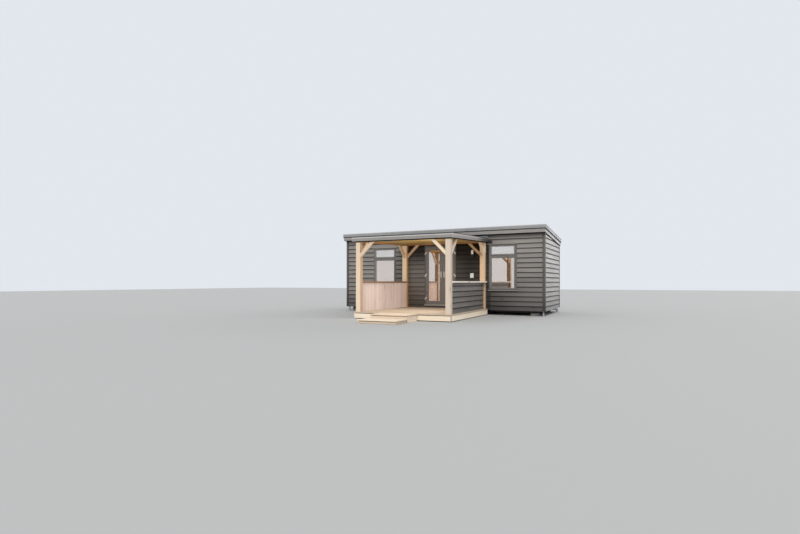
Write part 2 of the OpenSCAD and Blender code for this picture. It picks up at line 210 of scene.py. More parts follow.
def timber_mat(name, dark, mid, light, rough=(0.55, 0.8), fine=0.35, board=0.16, knots=0.0, knot_col=(90, 55, 30),
               checks=0.0, depth=0.0006, weather=None, weather_amt=0.0, hue=0.0, streak=26.0, rings=0.5, spec=0.35, wall=False, rise=0.0):
    """Sawn or planed timber. The grain attribute runs along each piece, and rnd is one number for each piece."""
    m, nt, bs = new_mat(name)
    g = attr(nt, "grain").outputs["Vector"]
    r = attr(nt, "rnd").outputs["Fac"]
    broad = noise(nt, scaled(nt, g, (0.55, 3.0, 3.0)), 1.0, 3.0)
    wob = noise(nt, scaled(nt, g, (0.8, 2.2, 2.2)), 1.0, 2.0)
    ring_v = node(nt, "ShaderNodeVectorMath", {"operation": "MULTIPLY_ADD"}, _0=g, _1=(0.06, 1.0, 1.0)).outputs[0]
    warp = node(nt, "ShaderNodeCombineXYZ", X=0.0, Y=calc(nt, "MULTIPLY", wob, 0.09), Z=calc(nt, "MULTIPLY", wob, 0.05)).outputs[0]
    ring_v = node(nt, "ShaderNodeVectorMath", {"operation": "ADD"}, _0=ring_v, _1=warp).outputs[0]
    ring = node(nt, "ShaderNodeTexWave", {"wave_type": "RINGS", "rings_direction": "X"}, Vector=ring_v, Scale=streak,
                Distortion=1.4, Detail=2.0, Detail_Scale=1.2).outputs["Fac"]
    lines = noise(nt, scaled(nt, g, (1.1, 34.0, 34.0)), 1.0, 5.0, 0.6)
    fibre = noise(nt, scaled(nt, g, (9.0, 330.0, 330.0)), 1.0, 3.0, 0.6)
    tone = calc(nt, "MULTIPLY_ADD", ring, 0.34 * rings, calc(nt, "MULTIPLY_ADD", lines, 0.55, calc(nt, "MULTIPLY", broad, 0.42)))
    tone = calc(nt, "MULTIPLY_ADD", fibre, fine * 0.4, tone)
    col = ramp(nt, tone, [(0.34, lin(*dark)), (0.58, lin(*mid)), (0.92, lin(*light))])
    height = calc(nt, "MULTIPLY_ADD", fibre, 0.5, calc(nt, "MULTIPLY", lines, 0.6))
    if knots:
        vor = node(nt, "ShaderNodeTexVoronoi", {"feature": "F1"}, Vector=scaled(nt, g, (2.1, 7.5, 7.5)), Scale=1.0, Randomness=1.0)
        some = calc(nt, "GREATER_THAN", node(nt, "ShaderNodeSeparateColor", Color=vor.outputs["Color"]).outputs[0], 1.0 - knots)
        spot = calc(nt, "MULTIPLY", span(nt, vor.outputs["Distance"], 0.17, 0.08), some)
        halo = calc(nt, "MULTIPLY", span(nt, vor.outputs["Distance"], 0.34, 0.10), some)
        rim = node(nt, "ShaderNodeTexWave", {"wave_type": "BANDS"}, Vector=node(nt, "ShaderNodeCombineXYZ", X=vor.outputs["Distance"], Y=0.0, Z=0.0).outputs[0],
                   Scale=14.0, Distortion=0.6, Detail=1.0).outputs["Fac"]
        col = mixc(nt, calc(nt, "MULTIPLY", halo, 0.45), col, lin(*dark))
        col = mixc(nt, calc(nt, "MULTIPLY", spot, calc(nt, "MULTIPLY_ADD", rim, 0.3, 0.55)), col, lin(*knot_col))
        height = calc(nt, "MULTIPLY_ADD", halo, 0.5, height)
    if checks:
        cr = noise(nt, scaled(nt, g, (0.75, 26.0, 26.0), (7, 3, 5)), 1.0, 1.0, 0.4, 0.3)
        line = calc(nt, "ABSOLUTE", calc(nt, "SUBTRACT", cr, 0.5))
        gate = span(nt, noise(nt, scaled(nt, g, (0.9, 5.0, 5.0), (1, 9, 2)), 1.0, 1.0), 0.56, 0.66)
        crack = calc(nt, "MULTIPLY", span(nt, line, 0.010, 0.003), gate)
        col = mixc(nt, calc(nt, "MULTIPLY", crack, checks), col, tuple(c * 0.22 for c in lin(*dark)))
        height = calc(nt, "SUBTRACT", height, calc(nt, "MULTIPLY", crack, 1.6))
    if weather is not None:
        w = span(nt, noise(nt, scaled(nt, g, (0.9, 4.0, 4.0), (4, 4, 1)), 1.0, 4.0, 0.65), 0.40, 0.72)
        col = mixc(nt, calc(nt, "MULTIPLY", w, weather_amt), col, lin(*weather))
    val = calc(nt, "MULTIPLY_ADD", r, board * 2, 1.0 - board)
    if wall:
        sep = node(nt, "ShaderNodeSeparateXYZ", Vector=object_co(nt))
        x, y, z = sep.outputs
        # painted shade: the cabin walls darken towards the bottom, below an uneven line
        drift = noise(nt, scaled(nt, object_co(nt), (1.2, 1.2, 2.5)), 1.0, 4.0, 0.6)
        zn = calc(nt, "MULTIPLY_ADD", drift, 0.30, z)
        low_wall_shade = calc(nt, "MULTIPLY", span(nt, zn, 0.95, 0.26), span(nt, y, 0.80, 0.82))
        # the wall under the porch roof is darker, with painted shade growing towards the right
        under = calc(nt, "MULTIPLY", span(nt, x, -1.33, -1.20), calc(nt, "MULTIPLY", span(nt, x, 2.02, 1.92), span(nt, z, 2.50, 2.42)))
        under = calc(nt, "MULTIPLY", under, calc(nt, "MULTIPLY", span(nt, y, 0.84, 0.86), span(nt, y, 0.96, 0.95)))
        val = calc(nt, "MULTIPLY", val, calc(nt, "MULTIPLY_ADD", low_wall_shade, -0.68, 1.0))
        val = calc(nt, "MULTIPLY", val, calc(nt, "MULTIPLY_ADD", under, span(nt, x, -0.3, 1.2, -0.10, -0.87), 1.0))
        # painted shade high up on the wall under the porch ceiling
        high = calc(nt, "MULTIPLY", span(nt, under, 0.0, 0.3), span(nt, z, 1.65, 2.12))
        val = calc(nt, "MULTIPLY", val, calc(nt, "MULTIPLY_ADD", high, -0.88, 1.0))
        # painted shade under each board's lap, from the shade attribute; weaker under the porch roof
        lap = calc(nt, "MULTIPLY", attr(nt, "shade").outputs["Fac"], calc(nt, "MULTIPLY_ADD", under, -0.35, 1.0))
        val = calc(nt, "MULTIPLY", val, calc(nt, "MULTIPLY_ADD", lap, -0.88, 1.0))
        val = calc(nt, "MULTIPLY", val, span(nt, y, 0.80, 0.82, 0.87, 1.0))
        # the long front: painted light between 1.3 and 1.8 m just right of the porch, painted shade low down, and more
        # painted shade low down beside the porch
        front = calc(nt, "MULTIPLY", span(nt, y, 0.82, 0.84), span(nt, y, 0.97, 0.96))
        front = calc(nt, "MULTIPLY", front, calc(nt, "SUBTRACT", 1.0, under))
        low = calc(nt, "MULTIPLY", span(nt, z, 1.60, 0.95), -0.14)
        pale = calc(nt, "MULTIPLY", calc(nt, "MULTIPLY", span(nt, z, 1.30, 1.80), span(nt, x, 1.90, 2.20)), 0.20)
        nook_shade = calc(nt, "MULTIPLY", calc(nt, "MULTIPLY", span(nt, z, 1.05, 0.90), span(nt, x, 3.20, 2.00)), -0.45)
        nook_shade = calc(nt, "MULTIPLY", nook_shade, span(nt, x, 1.86, 1.90))
        tone = calc(nt, "ADD", calc(nt, "ADD", low, pale), nook_shade)
        val = calc(nt, "MULTIPLY", val, calc(nt, "MULTIPLY_ADD", tone, front, 1.0))
    # painted light: brighter towards the wall at the rear
    if rise:
        val = calc(nt, "MULTIPLY", val, span(nt, node(nt, "ShaderNodeSeparateXYZ", Vector=object_co(nt)).outputs[1], -0.75, 0.60, 1.0, 1.0 + rise))
    hs = node(nt, "ShaderNodeHueSaturation", Hue=calc(nt, "MULTIPLY_ADD", r, hue, 0.5 - hue / 2), Saturation=1.0, Value=val, Fac=1.0, Color=col)
    nt.links.new(hs.outputs[0], bs.inputs["Base Color"])
    nt.links.new(span(nt, lines, 0.3, 0.75, rough[1], rough[0]), bs.inputs["Roughness"])
    bs.inputs["Specular IOR Level"].default_value = spec
    if wall:
        # the painted lap shade also takes the sheen away
        nt.links.new(span(nt, lap, 0.15, 1.0, spec, 0.02), bs.inputs["Specular IOR Level"])
    bump(nt, bs, height, 1.0, depth)
    return m


def coat_mat(name, colour, rough=0.4, spread=0.06, dust=None, dust_amt=0.0, metallic=0.0, grit=0.00012, streaks=0.0, coat=0.0, spec=0.5, eave_shade=0.0):
    """A painted, moulded or coated surface with slight unevenness, and dust that gathers in patches. The last argument
    paints shade: it darkens the surface towards the wall at the rear.
    """
    m, nt, bs = new_mat(name)
    oc = object_co(nt)
    cloud = noise(nt, oc, 2.3, 4.0)
    grain = noise(nt, oc, 260.0, 2.0)
    c = lin(*colour)
    col = mixc(nt, span(nt, cloud, 0.3, 0.7), tuple(v * (1 - spread) for v in c), tuple(min(1, v * (1 + spread)) for v in c))
    if streaks:
        s = noise(nt, scaled(nt, oc, (14.0, 14.0, 0.8)), 1.0, 4.0, 0.6)
        col = mixc(nt, calc(nt, "MULTIPLY", span(nt, s, 0.5, 0.75), streaks), col, tuple(v * 0.62 for v in c))
    if dust is not None:
        d = span(nt, noise(nt, oc, 9.0, 5.0, 0.65), 0.42, 0.75)
        col = mixc(nt, calc(nt, "MULTIPLY", d, dust_amt), col, lin(*dust))
    # painted shade: darker towards the wall, under the main roof's eaves
    if eave_shade:
        near = span(nt, node(nt, "ShaderNodeSeparateXYZ", Vector=oc).outputs[1], -0.25, 0.45)
        col = mixc(nt, calc(nt, "MULTIPLY", near, eave_shade), col, (0.0, 0.0, 0.0))
    nt.links.new(col, bs.inputs["Base Color"])
    nt.links.new(span(nt, cloud, 0.3, 0.7, max(0.05, rough - 0.07), rough + 0.07), bs.inputs["Roughness"])
    bs.inputs["Metallic"].default_value = metallic
    bs.inputs["Specular IOR Level"].default_value = spec
    bs.inputs["Coat Weight"].default_value = coat
    bump(nt, bs, grain, 0.6, grit)
    return m


def glass_mat(name, tilt=0.0, lift=0.0, base=0.56, tint=(1.0, 0.90, 0.84, 1)):
    """A pane: what is behind it shows through, and it mirrors what is in front. tilt turns the mirrored view."""
    m, nt, bs = new_mat(name)
    nt.nodes.remove(bs)
    out = nt.nodes["Material Output"]
    wave = noise(nt, object_co(nt), 1.4, 1.0)
    lean = node(nt, "ShaderNodeVectorMath", {"operation": "ADD"}, _0=node(nt, "ShaderNodeNewGeometry").outputs["Normal"], _1=(tilt, 0.0, lift)).outputs[0]
    lean = node(nt, "ShaderNodeVectorMath", {"operation": "NORMALIZE"}, _0=lean).outputs[0]
    b = node(nt, "ShaderNodeBump", Height=wave, Strength=0.25, Distance=0.004, Normal=lean)
    clear = node(nt, "ShaderNodeBsdfTransparent", Color=(0.90, 0.92, 0.90, 1.0))
    shine = node(nt, "ShaderNodeBsdfGlossy", Color=tint, Roughness=0.015, Normal=b.outputs[0])
    fr = node(nt, "ShaderNodeFresnel", IOR=1.5)
    fac = calc(nt, "MULTIPLY_ADD", fr.outputs[0], 0.44, base)
    mx = node(nt, "ShaderNodeMixShader", Fac=fac, _1=clear.outputs[0], _2=shine.outputs[0])
    nt.links.new(mx.outputs[0], out.inputs["Surface"])
    return m


def concrete_mat(name):
    m, nt, bs = new_mat(name)
    oc = object_co(nt)
    a = noise(nt, oc, 6.0, 6.0, 0.6)
    p = node(nt, "ShaderNodeTexVoronoi", {"feature": "F1"}, Vector=oc, Scale=75.0).outputs["Distance"]
    col = ramp(nt, a, [(0.3, lin(112, 108, 102)), (0.55, lin(146, 142, 135)), (0.75, lin(168, 164, 156))])
    col = mixc(nt, span(nt, p, 0.18, 0.05), col, lin(92, 88, 82))
    nt.links.new(col, bs.inputs["Base Color"])
    bs.inputs["Roughness"].default_value = 0.92
    bump(nt, bs, calc(nt, "MULTIPLY_ADD", a, 0.6, span(nt, p, 0.0, 0.2)), 0.8, 0.002)
    return m


def membrane_mat(name):
    m, nt, bs = new_mat(name)
    oc = object_co(nt)
    a = noise(nt, oc, 1.1, 5.0, 0.6)
    b = noise(nt, oc, 18.0, 4.0, 0.6)
    s = noise(nt, scaled(nt, oc, (6.0, 0.7, 1.0)), 1.0, 4.0, 0.6)
    col = ramp(nt, a, [(0.32, lin(58, 60, 62)), (0.52, lin(74, 76, 78)), (0.72, lin(94, 95, 95))])
    col = mixc(nt, calc(nt, "MULTIPLY", span(nt, s, 0.52, 0.8), 0.5), col, lin(128, 124, 114))
    col = mixc(nt, calc(nt, "MULTIPLY", span(nt, b, 0.62, 0.8), 0.35), col, lin(86, 96, 70))
    nt.links.new(col, bs.inputs["Base Color"])
    nt.links.new(span(nt, a, 0.3, 0.7, 0.5, 0.75), bs.inputs["Roughness"])
    bump(nt, bs, calc(nt, "MULTIPLY_ADD", b, 0.2, a), 0.7, 0.006)
    return m


M = {}
M["boards"] = timber_mat("dark_boards", (92, 89, 84), (116, 111, 106), (144, 138, 132), (0.30, 0.44), 0.5, 0.11, 0.22, (64, 61, 58),
                         0.5, 0.0006, (136, 130, 124), 0.30, 0.0, 30.0, 0.35, 0.5, True)
# a darker copy of the dark boards for the end walls: painted shade
M["boards_end"] = timber_mat("dark_boards_end", (80, 75, 70), (102, 95, 88), (127, 118, 110), (0.30, 0.44), 0.5, 0.11, 0.22, (60, 57, 54),
                             0.5, 0.0006, (130, 123, 116), 0.30, 0.0, 30.0, 0.35, 0.5, True)
# a darker copy of the dark trim for the front corner boards: painted shade
M["trim_front"] = timber_mat("dark_trim_front", (66, 63, 59), (84, 80, 75), (102, 97, 91), (0.32, 0.46), 0.4, 0.08, 0.15, (54, 51, 48),
                             0.3, 0.0006, (112, 106, 99), 0.25, 0.0, 26.0, 0.3, 0.4, True)
M["trim"] = timber_mat("dark_trim", (74, 72, 68), (94, 91, 86), (114, 110, 104), (0.32, 0.46), 0.4, 0.08, 0.15, (62, 59, 56),
                       0.3, 0.0006, (126, 121, 114), 0.25, 0.0, 26.0, 0.3, 0.5, True)
M["head"] = timber_mat("window_heads", (118, 113, 102), (142, 136, 122), (160, 154, 140), (0.35, 0.5), 0.4, 0.06, 0.1, (80, 74, 66),
                       0.3, 0.0005, (150, 146, 136), 0.25, 0.0, 26.0, 0.3, 0.45)
M["panel"] = coat_mat("wall_panel", (44, 42, 40), 0.8, 0.06)
M["black"] = coat_mat("black_strip", (20, 20, 20), 0.75, 0.05, (60, 58, 54), 0.15)
M["post"] = timber_mat("post_timber", (196, 167, 136), (222, 198, 171), (240, 222, 200), (0.5, 0.75), 0.3, 0.07, 0.30, (122, 76, 42),
                       0.85, 0.0010, (206, 190, 168), 0.35, 0.01, 30.0, 0.55, 0.35)
# darker copies for the posts' back faces and the left post's right face: painted shade
M["post_back"] = timber_mat("post_back", (132, 102, 74), (160, 128, 98), (182, 152, 122), (0.5, 0.75), 0.3, 0.07, 0.30, (92, 58, 34),
                            0.85, 0.0010, (160, 136, 110), 0.35, 0.01, 30.0, 0.55, 0.35)
M["post_right"] = timber_mat("post_right", (185, 161, 138), (209, 191, 171), (226, 212, 195), (0.5, 0.75), 0.3, 0.07, 0.30, (118, 76, 46),
                             0.85, 0.0010, (198, 186, 170), 0.35, 0.01, 30.0, 0.55, 0.35)
M["rear_post"] = timber_mat("rear_post_timber", (180, 141, 101), (211, 179, 142), (230, 204, 172), (0.5, 0.75), 0.3, 0.07, 0.30, (100, 58, 30),
                            0.85, 0.0010, (190, 160, 124), 0.25, 0.01, 30.0, 0.6, 0.35)
# a pale copy of the rear post timber, painted light, and a darker one for a side face, painted shade
M["rear_post_left"] = timber_mat("rear_post_left", (238, 196, 152), (250, 220, 180), (254, 236, 208), (0.5, 0.75), 0.3, 0.05, 0.30, (110, 68, 38),
                                 0.85, 0.0010, (226, 212, 194), 0.25, 0.01, 30.0, 0.5, 0.35)
M["rear_post_side"] = timber_mat("rear_post_side", (190, 146, 100), (212, 168, 120), (226, 188, 146), (0.5, 0.75), 0.3, 0.05, 0.30, (100, 60, 32),
                                 0.85, 0.0010, (200, 166, 128), 0.25, 0.01, 30.0, 0.5, 0.35)
M["post_side"] = timber_mat("post_side", (166, 136, 106), (188, 162, 133), (204, 182, 156), (0.5, 0.75), 0.3, 0.07, 0.30, (108, 66, 36),
                            0.85, 0.0010, (184, 162, 136), 0.35, 0.01, 30.0, 0.55, 0.35)
M["rail"] = timber_mat("top_rail", (210, 190, 168), (234, 224, 210), (244, 238, 230), (0.55, 0.8), 0.3, 0.04, 0.25, (140, 98, 66),
                       0.6, 0.0009, (224, 216, 204), 0.35, 0.008, 28.0, 0.45, 0.35)
# a darker copy of the rail timber for the left rail: painted shade
M["rail_left"] = timber_mat("top_rail_left", (112, 84, 62), (140, 110, 86), (166, 138, 112), (0.55, 0.8), 0.3, 0.05, 0.25, (70, 44, 26),
                            0.6, 0.0009, (150, 130, 110), 0.3, 0.008, 28.0, 0.5, 0.35)
M["beam"] = timber_mat("beam_timber", (138, 96, 50), (172, 128, 76), (196, 154, 100), (0.5, 0.72), 0.3, 0.08, 0.25, (96, 56, 28),
                       0.6, 0.0009, (176, 150, 112), 0.25, 0.012, 26.0, 0.6, 0.35)
M["deck"] = timber_mat("deck_timber", (158, 139, 116), (181, 163, 141), (199, 184, 165), (0.6, 0.85), 0.4, 0.07, 0.25, (128, 86, 52),
                       0.5, 0.0010, (196, 184, 166), 0.45, 0.008, 24.0, 0.45, 0.3)
# a paler copy of the edge boards' timber for the deck's side edge boards: painted light
M["deck_right"] = timber_mat("deck_right_side", (228, 206, 176), (243, 227, 202), (250, 240, 222), (0.6, 0.85), 0.4, 0.05, 0.25, (140, 98, 62),
                             0.5, 0.0010, (236, 222, 200), 0.40, 0.008, 24.0, 0.45, 0.3)
M["landing"] = timber_mat("landing_timber", (172, 150, 124), (197, 176, 152), (215, 198, 178), (0.6, 0.85), 0.4, 0.07, 0.25, (128, 86, 52),
                          0.5, 0.0010, (196, 184, 166), 0.45, 0.008, 24.0, 0.45, 0.3)
M["landing_top"] = timber_mat("landing_top", (190, 166, 139), (215, 193, 167), (231, 214, 193), (0.6, 0.85), 0.4, 0.06, 0.25, (128, 86, 52),
                              0.5, 0.0010, (208, 196, 178), 0.42, 0.008, 24.0, 0.45, 0.3)
M["landing_riser"] = timber_mat("landing_riser", (178, 158, 133), (204, 185, 161), (220, 204, 184), (0.6, 0.85), 0.4, 0.05, 0.25, (130, 88, 54),
                                0.5, 0.0010, (208, 196, 178), 0.42, 0.008, 24.0, 0.45, 0.3)
# a paler copy for the landing's side boards: painted light
M["landing_side"] = timber_mat("landing_side", (206, 182, 155), (232, 212, 188), (245, 231, 213), (0.6, 0.85), 0.4, 0.05, 0.25, (136, 94, 60),
                               0.5, 0.0010, (222, 210, 192), 0.40, 0.008, 24.0, 0.45, 0.3)
M["tread"] = timber_mat("step_tread", (200, 175, 148), (226, 205, 180), (240, 225, 206), (0.6, 0.85), 0.4, 0.05, 0.25, (132, 90, 56),
                        0.5, 0.0010, (220, 208, 190), 0.40, 0.008, 24.0, 0.45, 0.3)
M["deck_side"] = timber_mat("deck_side", (198, 176, 150), (224, 206, 183), (240, 226, 208), (0.6, 0.85), 0.4, 0.07, 0.25, (128, 86, 52),
                            0.5, 0.0010, (210, 198, 180), 0.40, 0.008, 24.0, 0.45, 0.3)
M["ceiling"] = timber_mat("ceiling_boards", (148, 116, 60), (186, 156, 92), (212, 184, 124), (0.35, 0.55), 0.25, 0.10, 0.35, (86, 46, 18),
                          0.0, 0.0005, None, 0.0, 0.016, 24.0, 0.7, 0.5)
# the porch lining takes painted light towards the wall
M["lining"] = timber_mat("porch_lining", (192, 172, 162), (212, 196, 190), (228, 216, 212), (0.5, 0.72), 0.3, 0.07, 0.20, (140, 98, 72),
                         0.0, 0.0006, (206, 190, 178), 0.30, 0.010, 22.0, 0.5, 0.35, rise=0.45)
M["inside"] = timber_mat("inside_lining", (206, 200, 190), (220, 215, 206), (232, 228, 220), (0.4, 0.55), 0.12, 0.025, 0.10, (198, 188, 172),
                         0.0, 0.0003, None, 0.0, 0.0, 20.0, 0.2, 0.45)
M["inside_floor"] = timber_mat("inside_floor", (128, 98, 66), (154, 122, 86), (176, 144, 106), (0.35, 0.5), 0.25, 0.10, 0.15, (90, 60, 36),
                               0.0, 0.0004, None, 0.0, 0.01, 20.0, 0.6, 0.5)
M["underfloor"] = timber_mat("underfloor", (70, 56, 42), (92, 74, 56), (112, 92, 70), (0.75, 0.9), 0.3, 0.10, 0.0, (60, 40, 20),
                             0.0, 0.0008, (100, 92, 80), 0.3, 0.0, 14.0, 0.3, 0.2)
M["fascia"] = coat_mat("grey_fascia", (137, 132, 128), 0.42, 0.05, (170, 166, 156), 0.25, 0.0, 0.00018, 0.25)
# a paler copy of the grey fascia for the porch's sides (painted light), with painted shade towards the wall
M["porch_side"] = coat_mat("porch_side_fascia", (152, 147, 142), 0.42, 0.05, (176, 172, 164), 0.25, 0.0, 0.00018, 0.25, eave_shade=0.70)
M["band"] = coat_mat("edge_band", (58, 57, 56), 0.6, 0.06, (86, 84, 80), 0.2)
# the porch cap takes painted shade towards the wall
M["cap_bright"] = coat_mat("porch_edge_cap", (190, 188, 184), 0.35, 0.04, (170, 166, 156), 0.2, 0.0, 0.00012, 0.1, eave_shade=0.66)
# darker copies of the strip and cap for the roof's ends: painted shade
M["strip_side"] = coat_mat("grey_strip_side", (70, 71, 73), 0.38, 0.05, (150, 148, 144), 0.2, 0.0, 0.00015, 0.22)
M["strip"] = coat_mat("grey_strip", (136, 137, 137), 0.38, 0.05, (166, 164, 158), 0.2, 0.0, 0.00015, 0.22)
M["cap_side"] = coat_mat("edge_cap_side", (118, 116, 113), 0.45, 0.04, (140, 137, 130), 0.2, 0.0, 0.00008, 0.1, spec=0.3)
M["cap"] = coat_mat("edge_cap", (168, 165, 161), 0.35, 0.04, (170, 166, 156), 0.2, 0.0, 0.00012, 0.1)
M["frame"] = coat_mat("grey_frames", (94, 91, 88), 0.33, 0.03, (134, 132, 126), 0.18, 0.0, 0.00008, 0.06)
M["sash"] = coat_mat("grey_sashes", (118, 116, 113), 0.30, 0.03, (138, 136, 130), 0.15, 0.0, 0.00008, 0.05)
M["gasket"] = coat_mat("gasket", (26, 26, 27), 0.6, 0.05, (70, 68, 64), 0.1)
M["spacer"] = coat_mat("pane_spacer", (216, 214, 210), 0.35, 0.04, None, 0.0, 0.2)
M["white"] = coat_mat("white_fittings", (226, 226, 223), 0.25, 0.02, (196, 192, 182), 0.10, 0.0, 0.00005, 0.05, 0.3)
M["white_flat"] = coat_mat("diffuser", (232, 232, 228), 0.35, 0.02, (206, 202, 192), 0.10, 0.0, 0.00005, 0.0, 0.1)
M["lamp_white"] = coat_mat("lamp_white", (252, 250, 246), 0.45, 0.02, (214, 210, 202), 0.10)
M["lamp_dark"] = coat_mat("lamp_dark", (36, 37, 38), 0.4, 0.05, (96, 94, 90), 0.15)
M["sill_metal"] = coat_mat("sill_metal", (176, 177, 177), 0.32, 0.04, (150, 144, 132), 0.25, 0.85, 0.0001, 0.1)
M["zinc"] = coat_mat("zinc", (168, 171, 173), 0.45, 0.10, (128, 122, 110), 0.3, 0.75, 0.0002, 0.1)
M["steel"] = coat_mat("dark_steel", (38, 38, 40), 0.5, 0.08, (92, 84, 72), 0.35, 0.0, 0.0003, 0.1)
M["nail"] = coat_mat("nail_heads", (84, 82, 80), 0.5, 0.1, (112, 106, 98), 0.3, 0.5)
M["screw"] = coat_mat("screw_heads", (128, 122, 112), 0.4, 0.1, (120, 100, 74), 0.3, 0.85)
M["sill_light"] = coat_mat("window_sills", (128, 126, 121), 0.38, 0.04, (150, 144, 132), 0.25, 0.0, 0.0001, 0.1)
M["soffit"] = coat_mat("soffit", (104, 103, 101), 0.6, 0.06, (130, 126, 118), 0.2)
M["concrete"] = concrete_mat("concrete")
M["membrane"] = membrane_mat("membrane")
M["glass"] = glass_mat("glass")
M["glass_turned"] = glass_mat("glass_turned", 0.0255)
M["glass_fan"] = glass_mat("glass_fan", 0.16, 0.0, 0.66, (1.0, 0.95, 0.91, 1))

# ---------------------------------------------------------------- mesh tools
AXES = {"x": (0, 1, 2), "y": (1, 0, 2), "z": (2, 0, 1)}


class Part:
    """Gathers closed shells into one mesh. Each point keeps a grain coordinate and its shell's random number."""

    def __init__(self, name):
        self.name = name
        self.v, self.f, self.g, self.r, self.m, self.s, self.d = [], [], [], [], [], [], []

    def add(self, vs, fs, axis="x", mat=0, rnd=None, xf=None, smooth=False, grain=None, shade=None):
        rnd = RND.random() if rnd is None else rnd
        ox, oy, oz = rnd * 41.0, rnd * 29.0 + 3.0, rnd * 17.0
        i0 = len(self.v)
        a, b, c = AXES[axis]
        for p in vs:
            q = xf @ Vector(p) if xf is not None else p
            u = grain(p) if grain else (p[a], p[b], p[c])
            self.v.append((q[0], q[1], q[2]))
            self.g.append((u[0] + ox, u[1] + oy, u[2] + oz))
            self.r.append(rnd)
        self.d += shade or [0.0] * len(vs)
        for f in fs:
            self.f.append(tuple(i0 + k for k in f))
            self.m.append(mat)
            self.s.append(smooth)

    def make(self, mats, body="hut", replaces=(), slot=None, angle=35.0):
        me = bpy.data.meshes.new(self.name)
        me.from_pydata(self.v, [], self.f)
        me.attributes.new("grain", "FLOAT_VECTOR", "POINT").data.foreach_set("vector", np.array(self.g, np.float32).ravel())
        me.attributes.new("rnd", "FLOAT", "POINT").data.foreach_set("value", np.array(self.r, np.float32))
        if any(self.d):
            me.attributes.new("shade", "FLOAT", "POINT").data.foreach_set("value", np.array(self.d, np.float32))
        me.polygons.foreach_set("material_index", np.array(self.m, np.int32))
        bm = bmesh.new()
        bm.from_mesh(me)
        bmesh.ops.recalc_face_normals(bm, faces=bm.faces[:])
        bm.to_mesh(me)
        bm.free()
        me.polygons.foreach_set("use_smooth", np.array(self.s, bool))
        me.update()
        if any(self.s):
            me.set_sharp_from_angle(angle=math.radians(angle))
        ob = bpy.data.objects.new(self.name, me)
        SC.collection.objects.link(ob)
        for k in mats:
            me.materials.append(M[k])
        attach(ob, body)
        if replaces:
            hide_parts(*replaces)
        return ob


def rect(p0, p1, q0, q1, b):
    """A rectangle with cut corners, as a list of points."""
    return [(p0 + b, q0), (p1 - b, q0), (p1, q0 + b), (p1, q1 - b), (p1 - b, q1), (p0 + b, q1), (p0, q1 - b), (p0, q0 + b)]


def place(axis, t, p, q):
    return (t, p, q) if axis == "x" else (p, t, q) if axis == "y" else (p, q, t)


def sweep(part, axis, cuts, section, mat=0, rnd=None, xf=None, smooth=False, grain=None, shade=None):
    """A shell through cross-sections. section(k, t) gives the points at cut k, and shade a darkness for each of them."""
    vs, fs, n = [], [], None
    for k, t in enumerate(cuts):
        pts = section(k, t)
        n = len(pts)
        vs += [place(axis, t, p, q) for p, q in pts]
    for k in range(len(cuts) - 1):
        for i in range(n):
            j = (i + 1) % n
            fs.append((k * n + i, k * n + j, (k + 1) * n + j, (k + 1) * n + i))
    fs.append(tuple(range(n))[::-1])
    fs.append(tuple((len(cuts) - 1) * n + i for i in range(n)))
    part.add(vs, fs, axis, mat, rnd, xf, smooth, grain, shade * len(cuts) if shade else None)


def inset(pts, c):
    cp = sum(p for p, q in pts) / len(pts)
    cq = sum(q for p, q in pts) / len(pts)
    return [(p - math.copysign(min(c, abs(p - cp)), p - cp), q - math.copysign(min(c, abs(q - cq)), q - cq)) for p, q in pts]


def steps(a, b, size):
    n = max(1, round(abs(b - a) / size))
    return [a + (b - a) * k / n for k in range(n + 1)]


def timber(part, x0, x1, y0, y1, z0, z1, axis="x", b=0.004, mat=0, rnd=None, size=0.5, wob=0.0, top=None, bottom=None):
    """A bevelled timber along axis, with a slight wander of wob. top and bottom are not used."""
    lo, hi = {"x": (x0, x1), "y": (y0, y1), "z": (z0, z1)}[axis]
    rng = {"x": (y0, y1, z0, z1), "y": (x0, x1, z0, z1), "z": (x0, x1, y0, y1)}[axis]
    base = rect(*rng, b)
    cuts = [lo] + steps(lo + b, hi - b, size) + [hi]
    ph = RND.random() * 6.28

    def section(k, t):
        pts = inset(base, b) if k in (0, len(cuts) - 1) else base
        if wob and 1 < k < len(cuts) - 2:
            a = wob * math.sin(ph + t * 2.9) + wob * 0.6 * math.sin(ph * 2 + t * 7.3)
            c = wob * 0.7 * math.sin(ph * 3 + t * 3.7)
            pts = [(p + a, q + c) for p, q in pts]
        return pts

    sweep(part, axis, cuts, section, mat, rnd)


def slab(part, x0, x1, y0, y1, low, high, b=0.003, mat=0, rnd=None, axis="y", cuts=None):
    """A board whose underside and top follow low(y) and high(y), swept along Y."""
    cuts = [y0] + (cuts or [y0 + b, y1 - b]) + [y1]

    def section(k, t):
        pts = rect(x0, x1, low(t), high(t), b)
        return inset(pts, b) if k in (0, len(cuts) - 1) else pts

    sweep(part, "y", cuts, section, mat, rnd, grain=(lambda p: (p[0], p[1], p[2])) if axis == "x" else None)


def ring(part, x0, x1, z0, z1, w, prof, mat=0):
    """A mitred frame. w is the width of its left, right, bottom and top side, and prof lists (share of width, plus, y)."""
    vs, fs = [], []
    for u, c, y in prof:
        l, r_, b_, t_ = (x0 + u * w[0] + c, x1 - u * w[1] - c, z0 + u * w[2] + c, z1 - u * w[3] - c)
        vs += [(l, y, b_), (r_, y, b_), (r_, y, t_), (l, y, t_)]
    n = len(prof)
    for k in range(n):
        k2 = (k + 1) % n
        for j in range(4):
            j2 = (j + 1) % 4
            fs.append((k * 4 + j, k * 4 + j2, k2 * 4 + j2, k2 * 4 + j))
    part.add(vs, fs, "x", mat)


